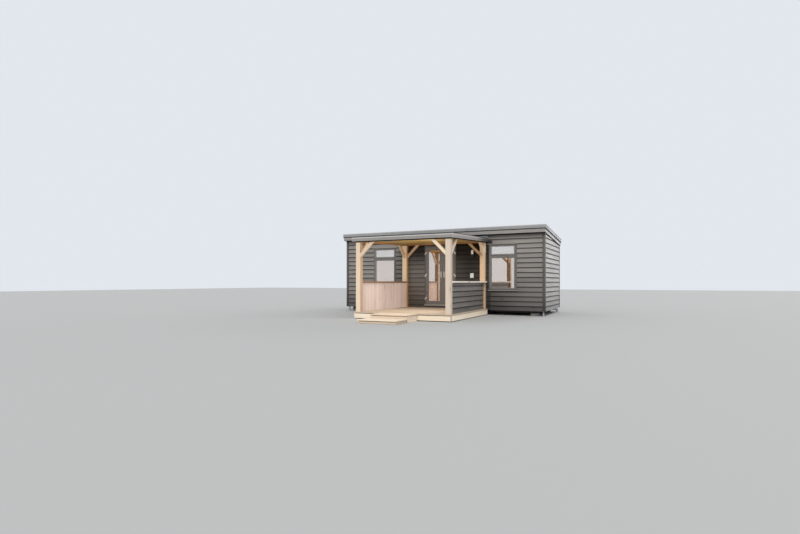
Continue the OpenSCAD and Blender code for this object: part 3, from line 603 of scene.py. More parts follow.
def lathe(part, prof, cx, cy, cz=0.0, n=32, mat=0, xf=None, smooth=True):
    """A turned solid about the Z axis through (cx, cy). prof lists (radius, z), and closes on the axis."""
    vs, fs = [], []
    for r, z in prof:
        vs += [(cx + r * math.cos(6.2831853 * k / n), cy + r * math.sin(6.2831853 * k / n), cz + z) for k in range(n)]
    m = len(prof)
    for i in range(m - 1):
        for k in range(n):
            k2 = (k + 1) % n
            fs.append((i * n + k, i * n + k2, (i + 1) * n + k2, (i + 1) * n + k))
    fs.append(tuple(range(n))[::-1])
    fs.append(tuple((m - 1) * n + k for k in range(n)))
    part.add(vs, fs, "z", mat, None, xf, smooth)


def tube(part, pts, ra, rb=None, n=14, mat=0, closed_ends=True):
    """A tube along points in a plane of constant z, of half height rb and half width ra, with round ends."""
    rb = rb or ra
    P = [Vector(p) for p in pts]
    rings = []
    for i, p in enumerate(P):
        d = (P[min(i + 1, len(P) - 1)] - P[max(i - 1, 0)]).normalized()
        side = Vector((0, 0, 1)).cross(d).normalized()
        rings.append((p, d, side, 1.0))
    if closed_ends:
        a, b = rings[0], rings[-1]
        front = [(a[0] - a[1] * ra * math.sin(t), a[1], a[2], math.cos(t)) for t in (1.35, 0.95, 0.5)]
        back = [(b[0] + b[1] * ra * math.sin(t), b[1], b[2], math.cos(t)) for t in (0.5, 0.95, 1.35)]
        rings = front + rings + back
    vs, fs = [], []
    for p, d, side, s in rings:
        for k in range(n):
            t = 6.2831853 * k / n
            q = p + side * (ra * s * math.cos(t)) + Vector((0, 0, rb * s * math.sin(t)))
            vs.append(tuple(q))
    for i in range(len(rings) - 1):
        for k in range(n):
            k2 = (k + 1) % n
            fs.append((i * n + k, i * n + k2, (i + 1) * n + k2, (i + 1) * n + k))
    fs.append(tuple(range(n))[::-1])
    fs.append(tuple((len(rings) - 1) * n + k for k in range(n)))
    part.add(vs, fs, "x", mat, None, None, True)


def dome(part, c, d, r, h, n=10, mat=0):
    """A low round head at c, facing along d."""
    d = Vector(d).normalized()
    a = d.orthogonal().normalized()
    b = d.cross(a)
    vs, fs = [], []
    for rr, hh in ((r, -0.002), (r, h * 0.35), (r * 0.6, h)):
        for k in range(n):
            t = 6.2831853 * k / n
            vs.append(tuple(Vector(c) + a * (rr * math.cos(t)) + b * (rr * math.sin(t)) + d * hh))
    for i in range(2):
        for k in range(n):
            k2 = (k + 1) % n
            fs.append((i * n + k, i * n + k2, (i + 1) * n + k2, (i + 1) * n + k))
    fs.append(tuple(range(n))[::-1])
    fs.append(tuple(2 * n + k for k in range(n)))
    part.add(vs, fs, "x", mat)


# ---------------------------------------------------------------- overlapping boards
def d_front(h):
    """How far a board's front stands out from the wall panel, h above its lower edge."""
    return 0.0225 - (0.0225 - 0.0045) * h / 0.180


def d_back(h):
    return 0.0065 - 0.0065 * h / 0.180


def split_rows(z0, z1, u0, u1, holes):
    """Cuts one row of boards round the holes (u0, u1, z0, z1) and joins equal neighbours."""
    marks = sorted({u0, u1} | {u for h in holes for u in h[:2] if u0 < u < u1})
    found = []
    for a, b in zip(marks, marks[1:]):
        if b - a < 0.004:
            continue
        spans = [(z0, z1)]
        for ha, hb, hz0, hz1 in holes:
            if ha < (a + b) / 2 < hb:
                spans = [s for lo, hi in spans for s in ((lo, min(hi, hz0)), (max(lo, hz1), hi)) if s[1] - s[0] > 0.006]
        for s in spans:
            if s[0] >= z0 + COVER:
                continue
            last = [k for k, f in enumerate(found) if abs(f[1] - a) < 1e-6 and abs(f[2] - s[0]) < 1e-6 and abs(f[3] - s[1]) < 1e-6]
            if last:
                found[last[0]][1] = b
            else:
                found.append([a, b, s[0], s[1]])
    return found


def clad(part, nails, along, face, out, u0, u1, base, tops, holes=(), joints=True, studs=0.6, cover=COVER, deep=0.0):
    """Rows of overlapping boards on a wall panel. along is the axis they run in, face the panel's face, out +1 or -1,
    and tops(u) the height they may reach."""
    z0 = base
    peak = max(tops(u0), tops(u1))
    # painted shade up each board towards the lap above it; deep makes it stronger and wider
    tone = {0.060: 0.03, 0.1175 - deep: 0.20, 0.1245 - deep * 0.8: 0.76 + deep * 20, 0.141: 0.80 + deep * 20}
    while z0 < peak - 0.012:
        z1 = z0 + 0.180
        ends = [u0, u1]
        if joints and u1 - u0 > 5.0:
            grid = [u0 + 0.03 + studs * k for k in range(1, int((u1 - u0) / studs))]
            clear = [g for g in grid if not any(a - 0.25 < g < b + 0.25 and lo < z1 and hi > z0 - 0.2 for a, b, lo, hi in holes)]
            pick = [g for g in clear if 2.0 < g - u0 < 5.2 and 2.0 < u1 - g < 5.2]
            if pick:
                ends = [u0, RND.choice(pick), u1]
        for k, (ea, eb) in enumerate(zip(ends, ends[1:])):
            rnd, ph = RND.random(), RND.random() * 6.28
            amp, tip = 0.0005 + RND.random() * 0.0006, (RND.random() - 0.5) * 0.0012
            ea2, eb2 = ea + (0.001 if k else 0.0015), eb - (0.001 if k < len(ends) - 2 else 0.0015)
            for a, b, za, zb in split_rows(z0, z1, ea2, eb2, holes):
                cuts = [t for t in steps(a, b, 0.42) if min(zb, tops(t)) - za > 0.010]
                if len(cuts) < 2:
                    continue
                whole = abs(za - z0) < 1e-6
                top_h = min([zb] + [tops(t) for t in cuts]) - z0
                marks = [h for h in sorted(tone) if za - z0 + 0.004 < h < top_h - 0.002]

                def section(i, t):
                    dz = (amp * math.sin(ph + t * 2.1) + tip * (t - ea) / (eb - ea)) if whole else 0.0
                    lo, hi = za + dz, min(zb, tops(t))
                    h0, h1 = lo - z0, hi - z0
                    dd = amp * 0.4 * math.sin(ph * 2 + t * 3.3)
                    c = 0.0016 if whole else 0.0004
                    pts = [(max(0.0002, d_back(h0)), lo), (d_front(h0) - c + dd, lo), (d_front(h0 + c) + dd, lo + c)]
                    pts += [(d_front(h) + dd, z0 + h) for h in marks]
                    pts += [(d_front(h1) + dd, hi), (max(0.0, d_back(h1)), hi)]
                    return [(face + out * d, z) for d, z in pts]

                # painted shade on the back and lower corner of each board and under the board above, and a painted
                # highlight just above its lower edge
                shade = [0.9, 0.55 if whole else 0.0, -0.12 if whole else 0.0] + [tone[h] for h in marks] + [1.0 if top_h > 0.15 else 0.2, 1.0]
                sweep(part, along, cuts, section, 0, rnd, shade=shade)
                for g in [u0 + 0.03 + studs * j for j in range(int((u1 - u0) / studs) + 1)]:
                    if a + 0.02 < g < b - 0.02 and za <= z0 + 0.034 and min(zb, tops(g)) > z0 + 0.06:
                        gz, gu = z0 + 0.036 + (RND.random() - 0.5) * 0.006, g + (RND.random() - 0.5) * 0.010
                        c = place(along, gu, face + out * (d_front(gz - z0) + 0.0004), gz)
                        dome(nails, c, (0, out, 0) if along == "x" else (out, 0, 0), 0.0032, 0.0010, 8)
        z0 += cover


nails = Part("board_nails")
front_holes = []
for wx in WIN_X:
    front_holes += [(wx - 0.002, wx + WIN_W + 0.002, WIN_Z - 0.057, WIN_Z + WIN_H + 0.001),
                    (wx - 0.031, wx + WIN_W + 0.031, WIN_Z - 0.057, WIN_Z + 0.001),
                    (wx - 0.061, wx + WIN_W + 0.061, WIN_Z + WIN_H - 0.001, WIN_Z + WIN_H + 0.024)]
front_holes.append((DOOR_X0 - 0.002, DOOR_X1 + 0.002, SILL_TOP - 0.054, DOOR_TOP + 0.002))
p = Part("front_boards")
clad(p, nails, "x", WF0, -1, -HX + 0.0880, HX - 0.0880, BASE, lambda u: roof_z(WF0) - ROOF_T - 0.006, front_holes)
p.make(["boards"], slot="dark_boards")
p = Part("rear_boards")
clad(p, nails, "x", WR1, 1, -HX + 0.0785, HX - 0.0785, BASE, lambda u: roof_z(YR) - ROOF_T - 0.006)
p.make(["boards"], slot="dark_boards")
# the end walls take the darker copy of the boards and a stronger painted lap shade (deep)
p = Part("left_end_boards")
clad(p, nails, "y", -WX1, -1, YF + 0.0585, YR - 0.0585, BASE, lambda u: roof_z(u) - ROOF_T - 0.006, deep=0.010)
p.make(["boards_end"], slot="dark_boards")
p = Part("right_end_boards")
clad(p, nails, "y", WX1, 1, YF + 0.0585, YR - 0.0585, BASE, lambda u: roof_z(u) - ROOF_T - 0.006, deep=0.010)
p.make(["boards_end"], slot="dark_boards")

# corner boards: a wide one on the front and rear, a narrow one on each end
p = Part("corner_boards")
for s in (-1, 1):
    a, b = (-HX - 0.004, -HX + 0.076) if s < 0 else (HX - 0.076, HX + 0.004)
    c, d = (-HX - 0.004, -WX1) if s < 0 else (WX1, HX + 0.004)
    timber(p, a, b, YF - 0.004, WF0 - 0.0005, BASE, roof_z(WF0) - ROOF_T - 0.002, "z", 0.0025, 1, wob=0.0004)
    timber(p, a, b, WR1 + 0.0005, YR + 0.004, BASE, roof_z(YR) - ROOF_T - 0.004, "z", 0.0025, wob=0.0004)
    timber(p, c, d, WF0 + 0.001, YF + 0.056, BASE, roof_z(YF + 0.056) - ROOF_T - 0.002, "z", 0.0025, wob=0.0004)
    timber(p, c, d, YR - 0.056, WR1 - 0.001, BASE, roof_z(WR1) - ROOF_T - 0.002, "z", 0.0025, wob=0.0004)
p.make(["trim", "trim_front"], replaces=["corner_trims"], slot="dark_boards")

# black strips at the top of the walls under the fascia: painted shade for the deep shade under the eaves
p = Part("wall_head_strips")
zf = FRONT_TOP - 0.245
timber(p, -HX + 0.001, HX - 0.001, YF - 0.022, YF - 0.0045, zf - 0.026, zf + 0.022, "x", 0.002)
zr = REAR_TOP - 0.245
timber(p, -HX + 0.001, HX - 0.001, YR + 0.0045, YR + 0.024, zr - 0.026, zr + 0.022, "x", 0.002)
for s in (-1, 1):
    a, b = sorted((s * (HX - 0.006), s * (HX + 0.0035)))
    slab(p, a, b, YF - 0.022, YR + 0.024, lambda y: roof_z(y) - 0.245 - 0.026, lambda y: roof_z(y) - 0.215, 0.001)
p.make(["black"], slot="dark_steel")

# ---------------------------------------------------------------- roof edge and covering
def edge_boards(part, inner_x, inner_y0, inner_y1, t, drop, lift, mat=0, b=0.003, side=0, more=0.0):
    """Four boards round the main roof, t thick, from drop to lift below its edge."""
    x, y0, y1 = inner_x, inner_y0, inner_y1
    pieces = steps(-x - t, x + t, 2.6)
    for a, c in zip(pieces, pieces[1:]):
        a2, c2 = a + (0.0008 if a > -x else 0), c - (0.0008 if c < x else 0)
        timber(part, a2, c2, y0 - t, y0, FRONT_TOP - drop, FRONT_TOP - lift, "x", b, mat, wob=0.0005, size=0.6)
        timber(part, a2, c2, y1, y1 + t, REAR_TOP - drop, REAR_TOP - lift, "x", b, mat, wob=0.0005, size=0.6)
    for xa, xb in ((-x - t, -x), (x, x + t)):
        slab(part, xa, xb, y0 + 0.001, y1 - 0.001, lambda y: roof_z(y) - drop - more, lambda y: roof_z(y) - lift, b, mat + side)


p = Part("roof_fascia_boards")
edge_boards(p, HX + 0.004, YF - 0.138, YR + 0.038, 0.022, 0.245, 0.004)
p.make(["fascia"], replaces=["roof_fascia"], slot="grey_fascia")
p = Part("roof_edge_boards")
edge_boards(p, HX + 0.026, YF - 0.160, YR + 0.060, 0.018, 0.110, 0.010, 0, 0.002, 1)
p.make(["strip", "strip_side"], replaces=["roof_edge_strip"], slot="grey_fascia")

# a black strip under the upper strip: painted shade for the shadow line beneath it
p = Part("roof_edge_shade_strip")
edge_boards(p, HX + 0.0265, YF - 0.1605, YR + 0.0605, 0.012, 0.132, 0.100, 0, 0.001, more=0.013)
p.make(["black"], slot="grey_fascia")

# metal drip along the top of the roof edge
p = Part("roof_edge_caps")


def cap_front(part, x0, x1, y_out, y_in, ztop, sgn, h=0.030, t=0.002):
    """A folded trim along X: flat on top and turned down outside."""
    o, i = y_out, y_in
    prof = [(i, ztop), (o, ztop), (o, ztop - h), (o + sgn * -0.000, ztop - h - 0.000)]
    pts = [(i, ztop), (o, ztop), (o, ztop - h), (o - sgn * t, ztop - h), (o - sgn * t, ztop - t), (i, ztop - t)]
    sweep(part, "x", steps(x0, x1, 1.5), lambda k, tt: pts)


cap_front(p, -RX + 0.0022, RX - 0.0022, RY0, RY0 + 0.070, FRONT_TOP, -1)
cap_front(p, -RX + 0.0022, RX - 0.0022, RY1, RY1 - 0.070, REAR_TOP, 1)
for s in (-1, 1):
    xo, xi, t = s * RX, s * (RX - 0.070), s * 0.002

    def side(k, y, xo=xo, xi=xi, t=t):
        z = roof_z(y)
        return [(xi, z), (xo, z), (xo, z - 0.030), (xo - t, z - 0.030), (xo - t, z - 0.002), (xi, z - 0.002)]

    def corner(k, y, xo=xo, t=t):
        z = roof_z(y)
        return [(xo - t, z - 0.0002), (xo, z - 0.0002), (xo, z - 0.030), (xo - t, z - 0.030)]

    sweep(p, "y", [RY0 + 0.0705, (RY0 + RY1) / 2, RY1 - 0.0705], side, 1)
    sweep(p, "y", [RY0 + 0.0001, RY0 + 0.0702], corner, 1)
    sweep(p, "y", [RY1 - 0.0702, RY1 - 0.0001], corner, 1)
p.make(["cap", "cap_side"], slot="grey_fascia")

p = Part("soffit_boards")
timber(p, -HX - 0.003, HX + 0.003, YF - 0.137, YF - 0.005, FRONT_TOP - 0.222, FRONT_TOP - 0.211, "x", 0.0015)
timber(p, -HX - 0.003, HX + 0.003, YR + 0.005, YR + 0.037, REAR_TOP - 0.222, REAR_TOP - 0.211, "x", 0.0015)
p.make(["soffit"], slot="grey_fascia")


def roof_sheet(name, x0, x1, y0, y1, zf, seams, upstand, wall_side=False):
    """A sheet roof: slightly uneven, with lapped seams, turned up at its edges."""
    part = Part(name)
    nx, ny = 72, 40
    vs, fs = [], []
    for j in range(ny + 1):
        for i in range(nx + 1):
            x, y = x0 + (x1 - x0) * i / nx, y0 + (y1 - y0) * j / ny
            w = 0.0012 * math.sin(x * 3.1 + math.sin(y * 2.3) * 1.3) * math.sin(y * 2.7 + 0.6) + 0.0006 * math.sin(x * 11 + y * 7)
            e = min(x - x0, x1 - x, y - y0, 9 if wall_side else y1 - y)
            if e < 0.03:
                w = (1 - e / 0.03) ** 2 * upstand
            vs.append((x, y, zf(y) + w))
    m = (nx + 1) * (ny + 1)
    vs += [(x, y, z - 0.004) for x, y, z in vs[:m]]
    q = lambda i, j: j * (nx + 1) + i
    for j in range(ny):
        for i in range(nx):
            a, b, c, d = q(i, j), q(i + 1, j), q(i + 1, j + 1), q(i, j + 1)
            fs += [(a, b, c, d), (d + m, c + m, b + m, a + m)]
    for i in range(nx):
        fs += [(q(i + 1, 0), q(i, 0), q(i, 0) + m, q(i + 1, 0) + m), (q(i, ny), q(i + 1, ny), q(i + 1, ny) + m, q(i, ny) + m)]
    for j in range(ny):
        fs += [(q(0, j), q(0, j + 1), q(0, j + 1) + m, q(0, j) + m), (q(nx, j + 1), q(nx, j), q(nx, j) + m, q(nx, j + 1) + m)]
    part.add(vs, fs, "x", 0, 0.3, None, True)
    for sx in seams:
        cuts = steps(y0 + 0.034, y1 - (0.002 if wall_side else 0.034), 0.25)
        sweep(part, "y", cuts, lambda k, y, sx=sx: [(sx - 0.038, zf(y) - 0.002), (sx - 0.036, zf(y) + 0.0030), (sx, zf(y) + 0.0042),
                                                    (sx + 0.036, zf(y) + 0.0030), (sx + 0.038, zf(y) - 0.002)], 0, 0.7, smooth=True)
    return part


roof_sheet("main_roof_sheet", -HX - 0.0035, HX + 0.0035, YF - 0.1375, YR + 0.0375, lambda y: roof_z(y) - 0.0085,
           [-2.2, -0.72, 0.76, 2.24], 0.007).make(["membrane"], slot="roof_membrane")
NODES["roof_deck"].data.materials.clear()
NODES["roof_deck"].data.materials.append(M["soffit"])

# ---------------------------------------------------------------- porch roof
p = Part("porch_fascia_boards")
timber(p, PXL + 0.0025, PXR - 0.0025, PY0 + 0.0025, PY0 + 0.022, 2.450 - 0.138, 2.450 - 0.003, "x", 0.003, 0, wob=0.0003)
for xa, xb in ((PXL + 0.0025, PXL + 0.022), (PXR - 0.022, PXR - 0.0025)):
    slab(p, xa, xb, PY0 + 0.023, YF - 0.002, lambda y: porch_z(y) - 0.138, lambda y: porch_z(y) - 0.003, mat=1)
p.make(["fascia", "porch_side"], replaces=["porch_fascia"], slot="grey_fascia")
# black strips on the beams' lower faces under the porch fascia: painted shade for the fascia's shadow
p = Part("porch_edge_shade_strip")
timber(p, PL_X + 0.002, PR_X + POST - 0.002, PF_Y - 0.012, PF_Y - 0.0015, 2.450 - 0.166, 2.450 - 0.128, "x", 0.002)
for xa in (PL_X - 0.0125, PR_X + POST + 0.0015):
    slab(p, xa, xa + 0.011, PF_Y, YF - 0.004, lambda y: porch_z(y) - 0.164, lambda y: porch_z(y) - 0.128, 0.002)
p.make(["black"], slot="dark_steel")
p = Part("porch_edge_caps")
cap_front(p, PXL + 0.0022, PXR - 0.0022, PY0, PY0 + 0.055, 2.450, -1, 0.028)
sweep(p, "x", steps(PXL, PXR, 1.5), lambda k, t: [(PY0, 2.4215), (PY0, 2.3960), (PY0 + 0.0025, 2.3945), (PY0 + 0.0025, 2.4215)], 1)
for s, xo in ((-1, PXL), (1, PXR)):
    xi, t = xo - s * 0.055, s * 0.002

    def side(k, y, xo=xo, xi=xi, t=t):
        z = porch_z(y)
        return [(xi, z), (xo, z), (xo, z - 0.022), (xo - t, z - 0.022), (xo - t, z - 0.002), (xi, z - 0.002)]

    def trim(k, y, xo=xo, t=t):
        z = porch_z(y)
        return [(xo, z - 0.0225), (xo, z - 0.054), (xo - t * 1.2, z - 0.056), (xo - t * 1.2, z - 0.0225)]

    def corner(k, y, xo=xo, t=t):
        z = porch_z(y)
        return [(xo - t, z - 0.0002), (xo, z - 0.0002), (xo, z - 0.022), (xo - t, z - 0.022)]

    sweep(p, "y", [PY0 + 0.0555, (PY0 + YF) / 2, YF - 0.002], side)
    sweep(p, "y", [PY0 + 0.0001, PY0 + 0.0552], corner)
    sweep(p, "y", [PY0 + 0.003, (PY0 + YF) / 2, YF - 0.002], trim, 1)
p.make(["band", "cap_bright"], slot="grey_fascia")
# flashing where the porch roof meets the wall
p = Part("porch_flashing")
zw = porch_z(YF)
sweep(p, "x", steps(PXL + 0.001, PXR - 0.001, 0.8), lambda k, t: [(YF - 0.130, zw - 0.0030), (YF - 0.129, zw - 0.0005), (YF - 0.006, zw + 0.0045), (YF - 0.0055, zw + 0.066), (YF - 0.0030, zw + 0.068),
                                                          (YF - 0.0015, zw + 0.066), (YF - 0.0015, zw - 0.0030)])
p.make(["zinc"], slot="zinc_steel")
roof_sheet("porch_roof_sheet", PXL + 0.0225, PXR - 0.0225, PY0 + 0.0225, YF - 0.0025, lambda y: porch_z(y) - 0.0030,
           [PXL + 1.05, PXL + 2.1], 0.002, True).make(["membrane"], slot="roof_membrane")
NODES["porch_roof"].data.materials.clear()
NODES["porch_roof"].data.materials.append(M["underfloor"])

p = Part("porch_ceiling_boards")
cx0, cx1 = PL_X + BEAM_W + 0.001, PR_X + POST - BEAM_W - 0.001
cy0, cy1 = PF_Y + BEAM_W + 0.001, YF - 0.001 - BEAM_W - 0.001
n = round((cx1 - cx0) / 0.095)
w = (cx1 - cx0) / n
for i in range(n):
    a = cx0 + i * w
    rnd = RND.random()

    def section(k, y, a=a):
        lo, hi = porch_z(y) - 0.118, porch_z(y) - 0.102
        return [(a + 0.0006, lo + 0.005), (a + 0.0045, lo), (a + w - 0.0045, lo), (a + w - 0.0006, lo + 0.005), (a + w - 0.0006, hi), (a + 0.0006, hi)]

    sweep(p, "y", steps(cy0, cy1, 0.8), section, 0, rnd)
p.make(["ceiling"], replaces=["porch_ceiling"], slot="ceiling_timber")

# ---------------------------------------------------------------- porch frame
p = Part("front_posts")
q = Part("rear_posts")
for x in (PL_X, PR_X):
    timber(p, x, x + POST, PF_Y, PF_Y + POST, DECK, porch_z(PF_Y) - BEAM_LOW, "z", 0.005, size=0.3, wob=0.0007)
for k, x in enumerate((RL_X, RR_X)):
    timber(q, x, x + REAR_W, PR_Y, YF - 0.001, DECK, porch_z(PR_Y) - BEAM_LOW, "z", 0.005, k, size=0.3, wob=0.0007)
ob = p.make(["post", "post_side", "post_right", "post_back"], slot="post_timber", replaces=["porch_posts"])
# painted shade: back faces take post_back and the left post's right face post_side; the rest of the right post takes
# post_right
for pl in ob.data.polygons:
    if pl.normal.y > 0.9:
        pl.material_index = 3
    elif pl.center.x > 0:
        pl.material_index = 2
    elif pl.normal.x > 0.9:
        pl.material_index = 1
ob = q.make(["rear_post_left", "rear_post", "rear_post_side"], slot="post_timber")
# painted shade on the left rear post's right face; painted light on the upper faces of the right rear post
for pl in ob.data.polygons:
    if pl.normal.x > 0.9 and pl.center.x < 0:
        pl.material_index = 2
    elif pl.center.x > 0 and pl.center.z > 2.0:
        pl.material_index = 0

p = Part("beams")
bl, bh = BEAM_LOW, 0.046


def beam_x(part, x0, x1, y0, y1):
    """A beam along X whose top and underside follow the roof's fall."""
    c = 0.004
    zl0, zl1, zh0, zh1 = porch_z(y0) - bl, porch_z(y1) - bl, porch_z(y0) - bh, porch_z(y1) - bh
    pts = [(y0 + c, zl0), (y1 - c, zl1), (y1, zl1 + c), (y1, zh1 - c), (y1 - c, zh1), (y0 + c, zh0), (y0, zh0 - c), (y0, zl0 + c)]
    cuts = [x0] + steps(x0 + c, x1 - c, 0.5) + [x1]
    sweep(part, "x", cuts, lambda k, t: inset(pts, c) if k in (0, len(cuts) - 1) else pts)


beam_x(p, PL_X, PR_X + POST, PF_Y, PF_Y + BEAM_W)
beam_x(p, PL_X + BEAM_W + 0.001, PR_X + POST - BEAM_W - 0.001, YF - 0.001 - BEAM_W, YF - 0.001)
for x in (PL_X, PR_X + POST - BEAM_W):
    slab(p, x, x + BEAM_W, PF_Y + BEAM_W + 0.001, YF - 0.001, lambda y: porch_z(y) - bl, lambda y: porch_z(y) - bh, 0.004)
p.make(["beam"], replaces=["porch_beams"], slot="beam_timber")


def brace(part, along, a, direction, lo, hi, z_at, z_beam, L=0.450, d=0.120, c=0.004):
    """A diagonal brace from a post face at a up to a beam. lo and hi are its sides, z_beam(u) the beam's underside."""
    def outline(k):
        s = c * 1.41421 if k in (0, 3) else 0.0
        ua, ub = a + direction * (L - s), a + direction * (L - d + s)
        return [(a, z_at - L + s), (ua, z_beam(ua)), (ub, z_beam(ub)), (a, z_at - L + d - s)]

    vs, fs = [], []
    for k, t in enumerate((lo, lo + c, hi - c, hi)):
        for u, z in outline(k):
            vs.append((u, t, z) if along == "x" else (t, u, z))
    for k in range(3):
        for i in range(4):
            j = (i + 1) % 4
            fs.append((k * 4 + i, k * 4 + j, (k + 1) * 4 + j, (k + 1) * 4 + i))
    fs += [(3, 2, 1, 0), (12, 13, 14, 15)]
    h = 0.70710678
    if along == "x":
        grain = lambda p: ((p[0] * direction + p[2]) * h, (p[0] * direction - p[2]) * h, p[1])
    else:
        grain = lambda p: ((p[1] * direction + p[2]) * h, (p[1] * direction - p[2]) * h, p[0])
    part.add(vs, fs, "x", 0, None, None, False, grain)


p = Part("front_braces")
q = Part("rear_braces")
zf, zr = porch_z(PF_Y) - BEAM_LOW, porch_z(YF - BEAM_W) - BEAM_LOW
brace(p, "x", PL_X + POST, 1, PF_Y + 0.008, PF_Y + 0.083, zf, lambda u: zf)
brace(p, "x", PR_X, -1, PF_Y + 0.008, PF_Y + 0.083, zf, lambda u: zf)
brace(q, "x", RL_X + REAR_W, 1, YF - 0.083, YF - 0.008, zr, lambda u: zr)
brace(q, "x", RR_X, -1, YF - 0.083, YF - 0.008, zr, lambda u: zr)
for x, xr in ((PL_X + 0.008, PL_X + 0.008), (PR_X + POST - 0.083, RR_X + REAR_W - 0.079)):
    zz = porch_z(PF_Y + POST) - BEAM_LOW
    brace(p, "y", PF_Y + POST, 1, x, x + 0.075, zz, lambda u: porch_z(u) - BEAM_LOW)
    zz = porch_z(PR_Y) - BEAM_LOW
    brace(q, "y", PR_Y, -1, xr, xr + 0.075, zz, lambda u: porch_z(u) - BEAM_LOW)
p.make(["post"], replaces=["knee_braces"], slot="post_timber")
ob = q.make(["rear_post", "rear_post_left"], slot="post_timber")
# painted light on the right rear brace beside the post
for pl in ob.data.polygons:
    if pl.center.x > RR_X + REAR_W - 0.090:
        pl.material_index = 1

# ---------------------------------------------------------------- half walls
hw_y0, hw_y1 = PF_Y + POST + 0.001, PR_Y - 0.001
p = Part("half_wall_boards")
q = Part("half_wall_lining")
core = Part("half_wall_cores")
for s in (-1, 1):
    c0, c1 = (PL_X + 0.067, PL_X + 0.090) if s < 0 else (PR_X + 0.060, PR_X + 0.083)
    timber(core, c0, c1, hw_y0, hw_y1, DECK, RAIL_Z - RAIL_T - 0.001, "y", 0.002)
    face = c0 if s < 0 else c1
    clad(p, nails, "y", face, s, hw_y0 + 0.002, hw_y1 - 0.002, DECK + 0.004, lambda u: RAIL_Z - RAIL_T - 0.002, joints=False)
    inner, sg = (c1, 1) if s < 0 else (c0, -1)
    n = round((hw_y1 - hw_y0) / 0.096)
    w = (hw_y1 - hw_y0) / n
    for i in range(n):
        a = hw_y0 + i * w
        x0, x1 = inner + sg * 0.0002, inner + sg * 0.0100

        def section(k, z, a=a, x0=x0, x1=x1, sg=sg):
            m = x1 - sg * 0.0035
            return [(x0, a + 0.0005), (m, a + 0.0005), (x1, a + 0.0045), (x1, a + w - 0.0045), (m, a + w - 0.0005), (x0, a + w - 0.0005)]

        sweep(q, "z", steps(DECK + 0.002, RAIL_Z - RAIL_T - 0.001, 0.9), section)
xb = PL_X + 0.1005
# a corner bead in the pale copy of the post timber: painted light
timber(q, xb, xb + 0.0185, PR_Y - 0.040, PR_Y - 0.0008, DECK + 0.002, RAIL_Z - RAIL_T - 0.001, "z", 0.003, 1)
p.make(["boards"], slot="dark_boards")
q.make(["lining", "rear_post_left"], slot="post_timber")
core.make(["trim"], replaces=["half_walls"], slot="dark_boards")

p = Part("top_rails")
for s in (-1, 1):
    inner, outer = (PL_X + POST, PL_X) if s < 0 else (PR_X, PR_X + POST)
    lip = outer + s * 0.025
    timber(p, min(inner, lip), max(inner, lip), PF_Y + POST + 0.0005, PR_Y - 0.0005, RAIL_Z - RAIL_T, RAIL_Z, "y", 0.006, 0 if s > 0 else 1, size=0.5, wob=0.0006)
timber(p, RR_X + REAR_W + 0.0005, PR_X + POST + 0.025, PR_Y + 0.0005, DY1, RAIL_Z - RAIL_T, RAIL_Z, "y", 0.005)
p.make(["rail", "rail_left"], replaces=["half_wall_rails"], slot="post_timber")

# ---------------------------------------------------------------- deck and steps
screws = Part("deck_screws")


def board_row(part, x0, x1, y0, y1, top, t, pitch, fixings, gap=0.005, mat=0):
    """Boards along X that cover y0 to y1, with screws at the fixings."""
    n = max(1, round((y1 - y0 + gap) / pitch))
    w = (y1 - y0 + gap) / n
    for i in range(n):
        a, b = y0 + i * w + (0.001 if i == 0 else 0.0), y0 + (i + 1) * w - gap
        lift = -RND.random() * 0.0012
        base = rect(a, b, top - t, top + lift, 0.0035)
        cuts = [x0] + steps(x0 + 0.003, x1 - 0.003, 0.45) + [x1]
        ph = RND.random() * 6.28
        rnd = RND.random()

        def section(k, x):
            pts = inset(base, 0.003) if k in (0, len(cuts) - 1) else base
            dy = 0.0006 * math.sin(ph + x * 2.4)
            return [(p_ + dy, q_) for p_, q_ in pts]

        sweep(part, "x", cuts, section, mat, rnd)
        for fx in fixings:
            for fy in (a + (b - a) * 0.22, b - (b - a) * 0.22):
                dome(screws, (fx + (RND.random() - 0.5) * 0.006, fy + (RND.random() - 0.5) * 0.004, top + lift - 0.0003), (0, 0, 1), 0.0040, 0.0007, 8)


p = Part("deck_boards")
joists = [DXL + 0.100 + i * (3.110 - 0.247) / 6 + 0.0235 for i in range(7)]
board_row(p, DXL, DXR, DY0, DY1, DECK, 0.028, 0.1484, joists)
p.make(["deck"], replaces=["porch_deck"], slot="deck_timber")

p = Part("deck_edge_and_joists")
t = 0.028
timber(p, DXL + 0.010, DXR - 0.010, DY0 + 0.010, DY0 + 0.010 + t, 0.022, DECK - 0.0450, "x", 0.003, 1, wob=0.0006)
for x in (DXL + 0.010, DXR - 0.010 - t):
    timber(p, x, x + t, DY0 + 0.010 + t + 0.001, DY1, 0.022, DECK - 0.0330, "y", 0.003, 2, wob=0.0006)
timber(p, DXR - 0.0255, DXR - 0.0098, DY0 + 0.0094, DY0 + 0.0100, 0.024, DECK - 0.047, "z", 0.0002, 3)
timber(p, DXR - 0.0100, DXR - 0.0094, DY0 + 0.0100, DY0 + 0.0180, 0.024, DECK - 0.047, "z", 0.0002, 3)
for jx in joists:
    timber(p, jx - 0.0235, jx + 0.0235, DY0 + 0.012 + t, DY1, 0.060, DECK - 0.0285, "y", 0.003)
p.make(["deck", "deck_side", "deck_right", "black"], replaces=["deck_frame"], slot="deck_timber")


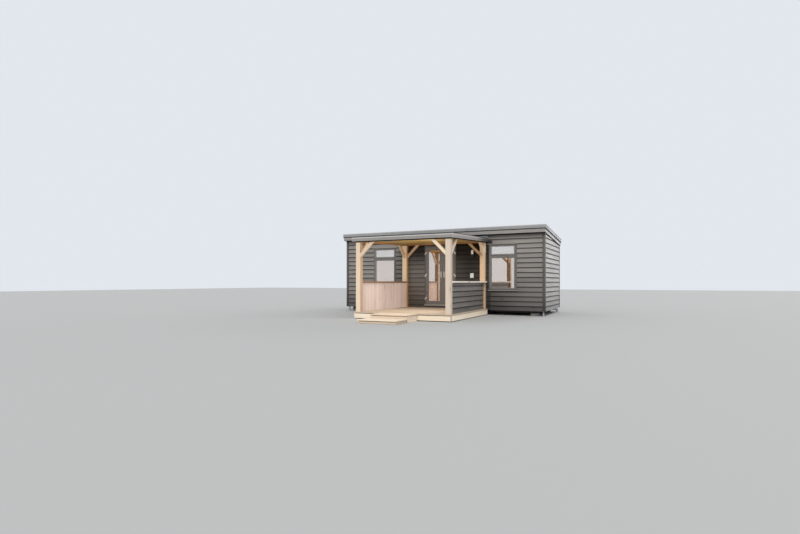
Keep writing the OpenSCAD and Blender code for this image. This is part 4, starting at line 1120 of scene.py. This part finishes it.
def box_step(name, x0, x1, y0, y1, z, node_name, tread, riser, front):
    part = Part(name)
    b = 0.003
    board_row(part, x0, x1, y0, y1, z, 0.028, 0.1484, [x0 + 0.028, (x0 + x1) / 2, x1 - 0.028])
    timber(part, x0 + 0.014, x1 - 0.014, y0 + 0.014, y0 + 0.042, 0.001, z - 0.045, "x", b, 2, wob=0.0005)
    for x in (x0 + 0.014, x1 - 0.042):
        timber(part, x, x + 0.028, y0 + 0.043, y1 - 0.030, 0.001, z - 0.034, "y", b, 1)
    part.make([tread, riser, front], replaces=[node_name], slot="deck_timber")


box_step("landing_boards", SX0, SX1, DY0 - LAND_D, DY0 - 0.001, DECK, "landing", "landing_top", "landing_side", "landing_riser")
box_step("lower_step_boards", SX0, SX1, DY0 - LAND_D - STEP_D, DY0 - LAND_D - 0.001, STEP_Z, "lower_step", "tread", "landing", "landing")
screws.make(["screw"], slot="zinc_steel")
nails.make(["nail"], slot="dark_boards")

# ---------------------------------------------------------------- windows
F0 = FACE                                  # front of the sashes
OUTER = [(0, 0, F0 + 0.100), (0, 0, F0 + 0.006), (0, 0.0015, F0 + 0.0045), (1, -0.0015, F0 + 0.0045), (1, 0, F0 + 0.006), (1, 0, F0 + 0.100)]
SASH = [(0, 0, F0 + 0.082), (0, 0, F0 + 0.002), (0, 0.002, F0), (1, -0.014, F0), (1, -0.010, F0 + 0.0015), (1, -0.001, F0 + 0.014), (1, 0, F0 + 0.016), (1, 0, F0 + 0.082)]


def pane(part, gl, gk, sp, x0, x1, z0, z1, mat=0):
    """Double glazing with its gaskets and the spacer round its edge."""
    for y in (F0 + 0.030, F0 + 0.050):
        a, b = rect(x0 - 0.004, x1 + 0.004, z0 - 0.004, z1 + 0.004, 0.0006), 0.004
        sweep(gl, "y", [y, y + b], lambda k, t: a, mat)
    ring(sp, x0, x1, z0, z1, (0.009,) * 4, [(0, 0, F0 + 0.0345), (0, 0, F0 + 0.0495), (1, 0, F0 + 0.0495), (1, 0, F0 + 0.0345)])
    ring(gk, x0 - 0.001, x1 + 0.001, z0 - 0.001, z1 + 0.001, (0.0045,) * 4,
         [(0, 0, F0 + 0.030), (0, 0, F0 + 0.016), (0.5, 0, F0 + 0.0165), (1, 0, F0 + 0.0225), (1, 0, F0 + 0.030)])
    ring(gk, x0 - 0.001, x1 + 0.001, z0 - 0.001, z1 + 0.001, (0.0045,) * 4,
         [(0, 0, F0 + 0.054), (1, 0, F0 + 0.054), (1, 0, F0 + 0.060), (0, 0, F0 + 0.064)])


gk, sp = Part("window_gaskets"), Part("window_spacers")
gl = Part("window_panes")
handles = Part("window_handles")
for name, wx in (("left_window_frame", WIN_X[0]), ("right_window_frame", WIN_X[1])):
    p = Part(name + "_detail")
    x0, x1, z0, z1 = wx, wx + WIN_W, WIN_Z, WIN_Z + WIN_H
    zt = WIN_Z + 1.112
    # outer frame, with a cross bar between the fanlight and the large pane
    ring(p, x0, x1, z0, z1, (0.046, 0.046, 0.026, 0.036), OUTER)
    bar = [(F0 + 0.100, zt - 0.023), (F0 + 0.006, zt - 0.023), (F0 + 0.0045, zt - 0.0215), (F0 + 0.0045, zt + 0.0215), (F0 + 0.006, zt + 0.023), (F0 + 0.100, zt + 0.023)]
    sweep(p, "x", [x0 + 0.0455, x1 - 0.0455], lambda k, t: bar)
    g = 0.005
    ring(p, x0 + 0.046 + g, x1 - 0.046 - g, z0 + 0.026 + g, zt - 0.023 - g,
         (0.088 - 0.046 - g, 0.088 - 0.046 - g, 0.056 - 0.026 - g, zt - 0.023 - g - (WIN_Z + 1.046)), SASH, 1)
    ring(p, x0 + 0.046 + g, x1 - 0.046 - g, zt + 0.023 + g, z1 - 0.036 - g,
         (0.088 - 0.046 - g, 0.088 - 0.046 - g, WIN_Z + 1.178 - zt - 0.023 - g, z1 - 0.036 - g - (WIN_Z + 1.428)), SASH, 1)
    # a dark seal in the gap round both sashes
    for a, b in ((z0 + 0.026, zt - 0.023), (zt + 0.023, z1 - 0.036)):
        ring(gk, x0 + 0.0455, x1 - 0.0455, a - 0.0005, b + 0.0005, (0.0065,) * 4,
             [(0, 0, F0 + 0.020), (1, 0, F0 + 0.020), (1, 0, F0 + 0.070), (0, 0, F0 + 0.070)])
    pane(p, gl, gk, sp, x0 + 0.088, x1 - 0.088, WIN_Z + 0.056, WIN_Z + 1.046)
    pane(p, gl, gk, sp, x0 + 0.088, x1 - 0.088, WIN_Z + 1.178, WIN_Z + 1.428, 1)
    drip = [(F0 + 0.0055, zt - 0.020), (F0 - 0.010, zt - 0.019), (F0 - 0.011, zt - 0.016), (F0 - 0.009, zt - 0.010), (F0 + 0.0055, zt - 0.004)]
    sweep(p, "x", [x0 + 0.044, x1 - 0.044], lambda k, t: drip, 2)
    p.make(["frame", "sash", "sill_light"], replaces=[name], slot="grey_frames")
    # inside handles: one on the fanlight, one on the large sash
    ym = F0 + 0.082
    for hx_, hz_ in (((x0 + x1) / 2, WIN_Z + 1.158), (x1 - 0.067, WIN_Z + 0.50)):
        timber(handles, hx_ - 0.030, hx_ + 0.030, ym, ym + 0.008, hz_ - 0.012, hz_ + 0.012, "x", 0.003)
        tube(handles, [(hx_ - 0.020, ym + 0.010, hz_), (hx_ - 0.020, ym + 0.026, hz_), (hx_ - 0.012, ym + 0.034, hz_), (hx_ + 0.020, ym + 0.036, hz_), (hx_ + 0.085, ym + 0.036, hz_)], 0.0065, 0.009, 12)
gk.make(["gasket"], slot="grey_frames")
sp.make(["spacer"], slot="threshold")
gl.make(["glass", "glass_fan"], replaces=["window_glass"], slot="glass")
handles.make(["white"], slot="white_fittings")

p = Part("sills_and_heads")
for wx in WIN_X:
    x0, x1 = wx - 0.030, wx + WIN_W + 0.030
    yo = YF - 0.048
    prof = [(yo, WIN_Z - 0.020), (yo + 0.002, WIN_Z - 0.0125), (yo + 0.006, WIN_Z - 0.0105), (WF0, WIN_Z - 0.0005), (WF0, WIN_Z - 0.056),
            (YF - 0.006, WIN_Z - 0.056), (YF - 0.008, WIN_Z - 0.040), (yo + 0.016, WIN_Z - 0.036), (yo + 0.013, WIN_Z - 0.041), (yo + 0.009, WIN_Z - 0.036), (yo + 0.002, WIN_Z - 0.034)]
    cuts = [x0, x0 + 0.003, (x0 + x1) / 2, x1 - 0.003, x1]
    sweep(p, "x", cuts, lambda k, t: inset(prof, 0.001) if k in (0, 4) else prof, 0)
    x0, x1 = wx - 0.060, wx + WIN_W + 0.060
    yo = YF - 0.030
    prof2 = [(yo, WIN_Z + WIN_H + 0.001), (yo + 0.002, WIN_Z + WIN_H), (yo + 0.010, WIN_Z + WIN_H + 0.0005), (yo + 0.012, WIN_Z + WIN_H + 0.004), (yo + 0.014, WIN_Z + WIN_H + 0.0005),
             (WF0, WIN_Z + WIN_H + 0.001), (WF0, WIN_Z + WIN_H + 0.026), (yo + 0.003, WIN_Z + WIN_H + 0.0165), (yo, WIN_Z + WIN_H + 0.014)]
    cuts2 = [x0, x0 + 0.002, (x0 + x1) / 2, x1 - 0.002, x1]
    sweep(p, "x", cuts2, lambda k, t: inset(prof2, 0.001) if k in (0, 4) else prof2, 1)
p.make(["sill_light", "head"], replaces=["window_sills", "window_heads"], slot="grey_frames")

# ---------------------------------------------------------------- doorway
p = Part("door_frame_detail")
y0, y1 = FACE, FACE + 0.100


def door_side(part, xo, xi, z0, z1, s):
    """One upright of the door frame, with a rebate behind the leaf and rounded outer edges."""
    c = 0.002
    pts = [(xo, y0 + c), (xo + s * c, y0), (xi - s * c, y0), (xi, y0 + c), (xi, y0 + 0.056), (xi + s * 0.000, y0 + 0.058), (xi, y1), (xo, y1)]
    sweep(part, "z", [z0, z0 + 0.6, z1 - 0.4, z1], lambda k, t: pts)
    stop = [(xi - s * 0.001, y0 + 0.0560), (xi + s * 0.0150, y0 + 0.0560), (xi + s * 0.0170, y0 + 0.0580), (xi + s * 0.0170, y1 - 0.002), (xi + s * 0.0150, y1), (xi - s * 0.001, y1)]
    sweep(part, "z", [z0, z1], lambda k, t: stop)


door_side(p, DOOR_X0, DOOR_X0 + JAMB, SILL_TOP, DOOR_TOP, 1)
door_side(p, DOOR_X1, DOOR_X1 - JAMB, SILL_TOP, DOOR_TOP, -1)
zh = DOOR_TOP - 0.045
head = [(y0 + 0.002, zh), (y1, zh), (y1, DOOR_TOP), (y0 + 0.002, DOOR_TOP), (y0, DOOR_TOP - 0.002), (y0, zh + 0.002)]
sweep(p, "x", [DOOR_X0 + JAMB + 0.0005, DOOR_X1 - JAMB - 0.0005], lambda k, t: head)
hstop = [(y0 + 0.056, zh + 0.001), (y0 + 0.056, zh - 0.013), (y0 + 0.058, zh - 0.015), (y1 - 0.002, zh - 0.015), (y1, zh - 0.013), (y1, zh + 0.001)]
sweep(p, "x", [DOOR_X0 + JAMB + 0.017, DOOR_X1 - JAMB - 0.017], lambda k, t: hstop)
p.make(["frame"], replaces=["door_frame"], slot="grey_frames")

p = Part("door_sill")
prof = [(YF - 0.050, SILL_TOP - 0.052), (YF - 0.050, SILL_TOP - 0.005), (YF - 0.048, SILL_TOP - 0.003), (FACE - 0.004, SILL_TOP - 0.0028), (FACE + 0.006, SILL_TOP - 0.0022),
        (FACE + 0.008, SILL_TOP - 0.006), (FACE + 0.012, SILL_TOP - 0.006), (FACE + 0.014, SILL_TOP - 0.0018), (FACE + 0.060, SILL_TOP - 0.001), (FACE + 0.100, SILL_TOP),
        (FACE + 0.100, FLOOR), (WF0, FLOOR), (WF0, SILL_TOP - 0.054), (YF - 0.046, SILL_TOP - 0.054)]
sweep(p, "x", [DOOR_X0, DOOR_X0 + 0.4, DOOR_X1 - 0.4, DOOR_X1], lambda k, t: prof)
for k in range(4):
    yy = YF - 0.040 + k * 0.007
    rib = [(yy, SILL_TOP - 0.0032), (yy + 0.001, SILL_TOP - 0.0014), (yy + 0.003, SILL_TOP - 0.0014), (yy + 0.004, SILL_TOP - 0.0032)]
    sweep(p, "x", [DOOR_X0 + 0.004, DOOR_X1 - 0.004], lambda k_, t: rib)
p.make(["sill_metal"], replaces=["door_threshold"], slot="threshold")


def hinge(part, xa, side, z):
    """One half of a hinge: a barrel with a rounded end, and a plate with two covers."""
    lathe(part, [(0.0060, 0.0), (0.0085, 0.0012), (0.0090, 0.003), (0.0090, 0.041), (0.0085, 0.0428), (0.0060, 0.044)], xa, HINGE_Y, z, 24)
    x0, x1 = (xa + 0.0005, xa + 0.040) if side > 0 else (xa - 0.040, xa - 0.0005)
    timber(part, x0, x1, FACE - 0.0052, FACE - 0.0002, z, z + 0.044, "x", 0.0016)
    timber(part, min(xa, xa + side * 0.010), max(xa, xa + side * 0.010), FACE - 0.0125, FACE - 0.001, z + 0.004, z + 0.040, "x", 0.002)
    for dz in (0.012, 0.032):
        dome(part, (xa + side * 0.027, FACE - 0.0052, z + dz), (0, -1, 0), 0.0042, 0.0012, 12)


p = Part("frame_hinge_halves")
for z in HINGE_Z:
    hinge(p, L_AXIS, -1, z - 0.046)
    hinge(p, R_AXIS, 1, z - 0.046)
p.make(["white"], replaces=["frame_hinges"], slot="white_fittings")


def leaf(side, body, prefix, glass):
    """A door leaf with its glazing, furniture and hinges, at rest. side is +1 where it is hung on its left."""
    hx_ = DOOR_X0 + JAMB + GAP if side > 0 else DOOR_X1 - JAMB - GAP
    a, b = (hx_, hx_ + LEAF_W[side]) if side > 0 else (hx_ - LEAF_W[side], hx_)
    z0, z1 = LEAF_Z, LEAF_Z + LEAF_H
    gx0, gx1, gz0, gz1 = a + STILE, b - STILE, z0 + 0.105, z1 - 0.105
    part = Part(prefix + "_leaf")
    bev = 0.008
    lw, rw = (STILE, STILE)
    # the meeting edge leans back by 8 mm, so the ring's rear points are drawn in there
    vs, fs = [], []
    prof = [(0, 0.0, FACE + LEAF_T), (0, 0.0, FACE + 0.002), (0, 0.002, FACE), (1, -0.018, FACE), (1, -0.014, FACE + 0.002), (1, -0.001, FACE + 0.015), (1, 0.0, FACE + 0.017), (1, 0.0, FACE + LEAF_T)]
    for u, c, y in prof:
        lean = bev * (y - FACE) / LEAF_T if u == 0 else 0.0
        l = a + u * lw + c + (lean if side < 0 else 0.0)
        r_ = b - u * rw - c - (lean if side > 0 else 0.0)
        bo, to = z0 + u * 0.105 + c, z1 - u * 0.105 - c
        vs += [(l, y, bo), (r_, y, bo), (r_, y, to), (l, y, to)]
    n = len(prof)
    for k in range(n):
        k2 = (k + 1) % n
        for j in range(4):
            j2 = (j + 1) % 4
            fs.append((k * 4 + j, k * 4 + j2, k2 * 4 + j2, k2 * 4 + j))
    part.add(vs, fs, "z", 0)
    part.make(["sash"], body, [prefix], "grey_frames")
    glp, gkp, spp = Part(prefix + "_panes"), Part(prefix + "_gaskets"), Part(prefix + "_spacers")
    for y in (FACE + 0.014 + 0.0015, FACE + 0.034):
        rc = rect(gx0 - 0.004, gx1 + 0.004, gz0 - 0.004, gz1 + 0.004, 0.0006)
        sweep(glp, "y", [y, y + 0.004], lambda k, t: rc)
    ring(spp, gx0, gx1, gz0, gz1, (0.009,) * 4, [(0, 0, FACE + 0.020), (0, 0, FACE + 0.0335), (1, 0, FACE + 0.0335), (1, 0, FACE + 0.020)])
    ring(gkp, gx0 - 0.001, gx1 + 0.001, gz0 - 0.001, gz1 + 0.001, (0.0045,) * 4,
         [(0, 0, FACE + 0.0155), (0, 0, FACE + 0.0105), (0.5, 0, FACE + 0.0110), (1, 0, FACE + 0.0135), (1, 0, FACE + 0.0155)])
    ring(gkp, gx0 - 0.001, gx1 + 0.001, gz0 - 0.001, gz1 + 0.001, (0.0045,) * 4,
         [(0, 0, FACE + 0.038), (1, 0, FACE + 0.038), (1, 0, FACE + 0.042), (0, 0, FACE + 0.046)])
    glp.make([glass], body, [prefix + "_glass"], "glass")
    gkp.make(["gasket"], body, (), "grey_frames")
    spp.make(["spacer"], body, (), "threshold")
    fur = Part(prefix + "_furniture")
    cx = hx_ + side * (LEAF_W[side] - STILE / 2)
    zc = z0 + 1.085
    for f in (-1, 1):
        yb = FACE if f < 0 else FACE + LEAF_T
        ya, yc = sorted((yb + f * 0.0002, yb + f * 0.0085))
        timber(fur, cx - 0.016, cx + 0.016, ya, yc, z0 + 0.929, z0 + 1.139, "z", 0.0040)
        rose = Matrix.Translation((cx, yb + f * 0.0085, zc)) @ Matrix.Rotation(math.radians(90 * -f), 4, "X")
        lathe(fur, [(0.0125, -0.001), (0.0125, 0.003), (0.0100, 0.0045), (0.0092, 0.012)], 0, 0, 0, 24, 0, rose)
        yl = yb + f * 0.048
        tube(fur, [(cx, yb + f * 0.010, zc), (cx, yb + f * 0.034, zc), (cx - side * 0.003, yb + f * 0.042, zc), (cx - side * 0.010, yl, zc),
                   (cx - side * 0.060, yl, zc), (cx - side * 0.105, yl, zc), (cx - side * 0.113, yl - f * 0.003, zc)], 0.0080, 0.0088, 16)
        cyl = Matrix.Translation((cx, yb + f * 0.0085, zc - 0.092)) @ Matrix.Rotation(math.radians(90 * -f), 4, "X")
        lathe(fur, [(0.0085, -0.001), (0.0085, 0.0025), (0.0070, 0.0040)], 0, 0, 0, 20, 0, cyl)
        timber(fur, cx - 0.0045, cx + 0.0045, min(yb + f * 0.008, yb + f * 0.0112), max(yb + f * 0.008, yb + f * 0.0112), zc - 0.112, zc - 0.094, "z", 0.0014)
    fur.make(["white"], body, [prefix + "_handles"], "white_fittings")
    hp = Part(prefix + "_hinge_halves")
    xa = L_AXIS if side > 0 else R_AXIS
    for z in HINGE_Z:
        hinge(hp, xa, side, z)
    hp.make(["white"], body, [prefix + "_hinges"], "white_fittings")


leaf(1, "door_left", "left_door", "glass_turned")
leaf(-1, "door_right", "right_door", "glass")

# ---------------------------------------------------------------- fittings on the front wall
p = Part("lamp_detail")
lx, ly = LAMP_X, LAMP_Y
timber(p, lx - 0.034, lx + 0.034, YF - 0.016, YF - 0.0005, 2.036, 2.146, "z", 0.004, 1)
timber(p, lx - 0.012, lx + 0.012, ly + 0.030, YF - 0.014, 2.080, 2.104, "y", 0.003, 1)
lathe(p, [(0.020, 2.1778), (0.033, 2.1745), (0.0380, 2.1670), (0.0390, 2.1620), (0.0370, 2.1580)][::-1], lx, ly, 0, 40, 0)
lathe(p, [(0.0370, 2.0290), (0.0400, 2.0320), (0.0410, 2.0420), (0.0425, 2.1300), (0.0430, 2.1500), (0.0420, 2.1560), (0.0390, 2.1590)], lx, ly, 0, 40, 0)
lathe(p, [(0.0300, 1.9600), (0.0345, 1.9625), (0.0360, 1.9680), (0.0365, 1.9900), (0.0400, 2.0000), (0.0415, 2.0200), (0.0410, 2.0295), (0.0370, 2.0310)], lx, ly, 0, 40, 1)
lathe(p, [(0.0060, 1.9250), (0.0105, 1.9275), (0.0125, 1.9330), (0.0110, 1.9400), (0.0100, 1.9520), (0.0130, 1.9605)], lx, ly, 0, 28, 1)
p.make(["lamp_white", "lamp_dark"], replaces=["wall_lamp"], slot="lamp_body")

p = Part("socket_box_detail")
sx = SOCK_X
timber(p, sx - 0.060, sx + 0.060, YF - 0.036, YF - 0.0005, 1.228, 1.392, "z", 0.005)
timber(p, sx - 0.058, sx + 0.058, YF - 0.072, YF - 0.0375, 1.230, 1.390, "z", 0.009)
for k in (-1, 1):
    lathe(p, [(0.0085, -0.002), (0.0085, 0.010), (0.0070, 0.012)], 0, 0, 0, 20, 0,
          Matrix.Translation((sx + k * 0.040, YF - 0.060, 1.389)) @ Matrix.Rotation(0, 4, "X"))
timber(p, sx - 0.022, sx + 0.022, YF - 0.0755 + 0.0035, YF - 0.068, 1.236, 1.248, "x", 0.002)
p.make(["white"], replaces=["socket_box"], slot="white_fittings")

# ---------------------------------------------------------------- base
p = Part("block_detail")
for x in (-3.450, -1.150, 1.150, 3.330):
    for y in (WF0 + 0.320, WR1 - 0.320):
        timber(p, x - 0.110, x + 0.110, y - 0.160, y + 0.160, 0.0, 0.090, "y", 0.006)
for x in (DXL + 0.190, (DXL + DXR) / 2, DXR - 0.190):
    for y in (DY0 + 0.190, DY0 + 1.700, YF - 0.260):
        timber(p, x - 0.090, x + 0.090, y - 0.090, y + 0.090, 0.0, 0.060, "y", 0.006)
p.make(["concrete"], replaces=["support_blocks"], slot="concrete")
p = Part("chassis_detail")
for y in (WF0 + 0.320, WR1 - 0.320):
    web = [(y - 0.050, 0.090), (y + 0.050, 0.090), (y + 0.050, 0.098), (y + 0.0035, 0.098), (y + 0.0035, 0.152), (y + 0.050, 0.152), (y + 0.050, 0.160),
           (y - 0.050, 0.160), (y - 0.050, 0.152), (y - 0.0035, 0.152), (y - 0.0035, 0.098), (y - 0.050, 0.098)]
    sweep(p, "x", [-WX1 + 0.060, 0.0, WX1 - 0.060], lambda k, t: web)
p.make(["steel"], replaces=["chassis_rails"], slot="dark_steel")
p = Part("corner_stands")
for s in (-1, 1):
    for y in (WF0 + 0.070, WR1 - 0.070):
        lathe(p, [(0.056, 0.0), (0.060, 0.0015), (0.060, 0.007), (0.050, 0.0105), (0.034, 0.012), (0.029, 0.020), (0.028, 0.090), (0.031, 0.092), (0.031, 0.102), (0.017, 0.104),
                  (0.016, 0.140), (0.028, 0.142), (0.028, 0.1595)], s * (WX1 - 0.055), y, 0, 32)
p.make(["zinc"], replaces=["corner_props"], slot="zinc_steel", angle=30)
for n_ in ("floor", "front_wall_left", "front_wall_over_door", "front_wall_right", "rear_wall", "left_end_wall", "right_end_wall", "ceiling"):
    NODES[n_].data.materials.clear()
    NODES[n_].data.materials.append(M["panel"] if "wall" in n_ else M["underfloor"] if n_ == "floor" else M["inside"])

# ---------------------------------------------------------------- inside: lining, floor and reveals
def lining(part, along, face, inward, u0, u1, base, tops, holes=(), w=0.098, t=0.009):
    """Upright boards on the inside of a wall, cut round the holes (u0, u1, z0, z1)."""
    n = round((u1 - u0) / w)
    w = (u1 - u0) / n
    for i in range(n):
        a, b = u0 + i * w, u0 + (i + 1) * w
        marks = sorted({a, b} | {u for h in holes for u in h[:2] if a + 0.002 < u < b - 0.002})
        rnd = RND.random()
        for ma, mb in zip(marks, marks[1:]):
            spans = [(base, min(tops(ma), tops(mb)))]
            for ha, hb, hz0, hz1 in holes:
                if ha < (ma + mb) / 2 < hb:
                    spans = [s for lo, hi in spans for s in ((lo, min(hi, hz0)), (max(lo, hz1), hi)) if s[1] - s[0] > 0.004]
            for lo, hi in spans:
                ga, gb = (0.004 if abs(ma - a) < 1e-9 else 0.0002), (0.004 if abs(mb - b) < 1e-9 else 0.0002)
                d0, d1 = face + inward * 0.0005, face + inward * t
                dm = face + inward * (t - 0.0035)
                pts = [(d0, ma + 0.0003), (dm, ma + 0.0003), (d1, ma + ga), (d1, mb - gb), (dm, mb - 0.0003), (d0, mb - 0.0003)]
                if along == "x":
                    pts = [(q_, p_) for p_, q_ in pts]
                sweep(part, "z", [lo, hi], lambda k, tt, pts=pts: pts, 0, rnd)


under = lambda y: roof_z(y) - ROOF_T - 0.015
p = Part("inside_walls")
in_holes = [(wx - 0.001, wx + WIN_W + 0.001, WIN_Z - 0.001, WIN_Z + WIN_H + 0.001) for wx in WIN_X] + [(DOOR_X0 - 0.001, DOOR_X1 + 0.001, 0.0, DOOR_TOP + 0.001)]
lining(p, "x", WF1, 1, -WX0 + 0.010, WX0 - 0.010, FLOOR + 0.014, lambda u: under(WF1 + 0.009), in_holes)
lining(p, "x", WR0, -1, -WX0 + 0.010, WX0 - 0.010, FLOOR + 0.014, lambda u: under(WR0))
lining(p, "y", -WX0, 1, WF1 + 0.0005, WR0 - 0.0005, FLOOR + 0.014, under)
lining(p, "y", WX0, -1, WF1 + 0.0005, WR0 - 0.0005, FLOOR + 0.014, under)
# reveals round the windows and the doorway, and a window board inside
for wx in WIN_X:
    ring(p, wx, wx + WIN_W, WIN_Z, WIN_Z + WIN_H, (0.008,) * 4, [(0, 0, F0 + 0.1005), (1, 0, F0 + 0.1005), (1, 0, WF1 + 0.010), (0, 0, WF1 + 0.010)])
    ring(p, wx - 0.050, wx + WIN_W + 0.050, WIN_Z - 0.050, WIN_Z + WIN_H + 0.050, (0.057,) * 4,
         [(0, 0, WF1 + 0.0095), (1, 0, WF1 + 0.0095), (1, 0, WF1 + 0.0215), (1, -0.003, WF1 + 0.0245), (0, 0.003, WF1 + 0.0245), (0, 0, WF1 + 0.0215)])
    timber(p, wx - 0.060, wx + WIN_W + 0.060, F0 + 0.101, WF1 + 0.050, WIN_Z + 0.0085, WIN_Z + 0.028, "x", 0.005)
for xa, xb in ((DOOR_X0, DOOR_X0 + 0.010), (DOOR_X1 - 0.010, DOOR_X1)):
    timber(p, xa, xb, FACE + 0.1005, WF1 + 0.010, FLOOR + 0.002, DOOR_TOP, "z", 0.001)
timber(p, DOOR_X0 + 0.0105, DOOR_X1 - 0.0105, FACE + 0.1005, WF1 + 0.010, DOOR_TOP - 0.010, DOOR_TOP, "x", 0.001)
for xa, xb in ((DOOR_X0 - 0.055, DOOR_X0 + 0.004), (DOOR_X1 - 0.004, DOOR_X1 + 0.055)):
    timber(p, xa, xb, WF1 + 0.0100, WF1 + 0.0245, FLOOR + 0.014, DOOR_TOP - 0.004, "z", 0.003)
timber(p, DOOR_X0 - 0.055, DOOR_X1 + 0.055, WF1 + 0.0100, WF1 + 0.0245, DOOR_TOP - 0.0035, DOOR_TOP + 0.055, "x", 0.003)
# skirting
for a, b in ((-WX0 + 0.010, DOOR_X0 - 0.056), (DOOR_X1 + 0.056, WX0 - 0.010)):
    timber(p, a, b, WF1 + 0.0095, WF1 + 0.0235, FLOOR + 0.0135, FLOOR + 0.105, "x", 0.003)
timber(p, -WX0 + 0.010, WX0 - 0.010, WR0 - 0.0235, WR0 - 0.0095, FLOOR + 0.0135, FLOOR + 0.105, "x", 0.003)
for s in (-1, 1):
    a, b = sorted((s * (WX0 - 0.0235), s * (WX0 - 0.0095)))
    timber(p, a, b, WF1 + 0.024, WR0 - 0.024, FLOOR + 0.0135, FLOOR + 0.105, "y", 0.003)
p.make(["inside"], slot="pale_lining")

p = Part("inside_ceiling")
n = round((WX0 - 0.01) * 2 / 0.140)
w = (WX0 - 0.011) * 2 / n
for i in range(n):
    a = -WX0 + 0.011 + i * w

    def section(k, y, a=a):
        hi = roof_z(y) - ROOF_T - 0.0135
        lo = hi - 0.008
        return [(a + 0.0004, lo + 0.0035), (a + 0.004, lo), (a + w - 0.004, lo), (a + w - 0.0004, lo + 0.0035), (a + w - 0.0004, hi), (a + 0.0004, hi)]

    sweep(p, "y", steps(WF1 + 0.010, WR0 - 0.010, 1.4), section)
p.make(["inside"], slot="pale_lining")

p = Part("inside_floor")
n = round((WR0 - WF1 - 0.02) / 0.190)
w = (WR0 - WF1 - 0.02) / n
for i in range(n):
    y0_, y1_ = WF1 + 0.010 + i * w, WF1 + 0.010 + (i + 1) * w - 0.0008
    cut = -WX0 + 0.010 + 0.4 + RND.random() * 1.0
    marks = [-WX0 + 0.010]
    while cut < WX0 - 0.3:
        marks.append(cut)
        cut += 1.38
    marks.append(WX0 - 0.010)
    for a, b in zip(marks, marks[1:]):
        timber(p, a, b - 0.0008, y0_, y1_, FLOOR + 0.0005, FLOOR + 0.0125, "x", 0.0008, size=2.0)
timber(p, DOOR_X0 + 0.011, DOOR_X1 - 0.011, FACE + 0.1005, WF1 + 0.0095, FLOOR + 0.0005, FLOOR + 0.0125, "x", 0.0008)
p.make(["inside_floor"], slot="beam_timber")

# ---------------------------------------------------------------- stage and light
me = bpy.data.meshes.new("stage_floor")
s = 60.0
me.from_pydata([(-s, -s, -0.0008), (s, -s, -0.0008), (s, s, -0.0008), (-s, s, -0.0008)], [], [(0, 1, 2, 3)])
stage = bpy.data.objects.new("stage_floor", me)
SC.collection.objects.link(stage)
fm, nt, bs = new_mat("stage_floor")
bs.inputs["Base Color"].default_value = (0.42, 0.42, 0.41, 1)
bs.inputs["Roughness"].default_value = 0.9
bs.inputs["Specular IOR Level"].default_value = 0.1
me.materials.append(fm)
stage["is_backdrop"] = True

world = bpy.data.worlds.new("studio")
SC.world = world
world.use_nodes = True
bg = world.node_tree.nodes["Background"]
bg.inputs["Color"].default_value = (0.90, 0.94, 1.0, 1)
bg.inputs["Strength"].default_value = 0.85

def sun(name, direction, energy, angle, colour):
    """A soft sun that shines from a direction."""
    d = bpy.data.lights.new(name, "SUN")
    d.energy, d.angle, d.color = energy, math.radians(angle), colour
    o = bpy.data.objects.new(name, d)
    SC.collection.objects.link(o)
    o.rotation_euler = Vector(direction).to_track_quat("Z", "Y").to_euler()


def panel(name, at, to, size, power, colour):
    """A soft light panel that neither the camera nor a reflection shows."""
    d = bpy.data.lights.new(name, "AREA")
    d.shape, d.size, d.size_y, d.energy, d.color = "RECTANGLE", size[0], size[1], power, colour
    o = bpy.data.objects.new(name, d)
    SC.collection.objects.link(o)
    o.location = at
    o.rotation_euler = (Vector(at) - Vector(to)).to_track_quat("Z", "Y").to_euler()
    o.visible_camera = o.visible_glossy = o.visible_transmission = False


sun("key", (0.27, -0.74, 0.62), 2.05, 26, (1.0, 0.98, 0.95))
sun("rear", (0.36, 0.88, 0.34), 0.75, 40, (1.0, 0.985, 0.96))
panel("room", (0.0, (WF1 + WR0) / 2, 2.46), (0.0, (WF1 + WR0) / 2, 0.0), (6.4, 2.0), 58.0, (1.0, 0.80, 0.69))
panel("porch", (1.15, -1.75, 1.85), (-1.16, -0.8, 0.45), (1.1, 0.8), 34.0, (1.0, 0.93, 0.87))

SC.view_settings.view_transform = "Standard"
SC.view_settings.look = "None"

tris = {o.name: sum(len(pl.vertices) - 2 for pl in o.data.polygons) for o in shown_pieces() if o.type == "MESH"}
print("triangles", sum(tris.values()), sorted(tris.items(), key=lambda t: -t[1])[:6])
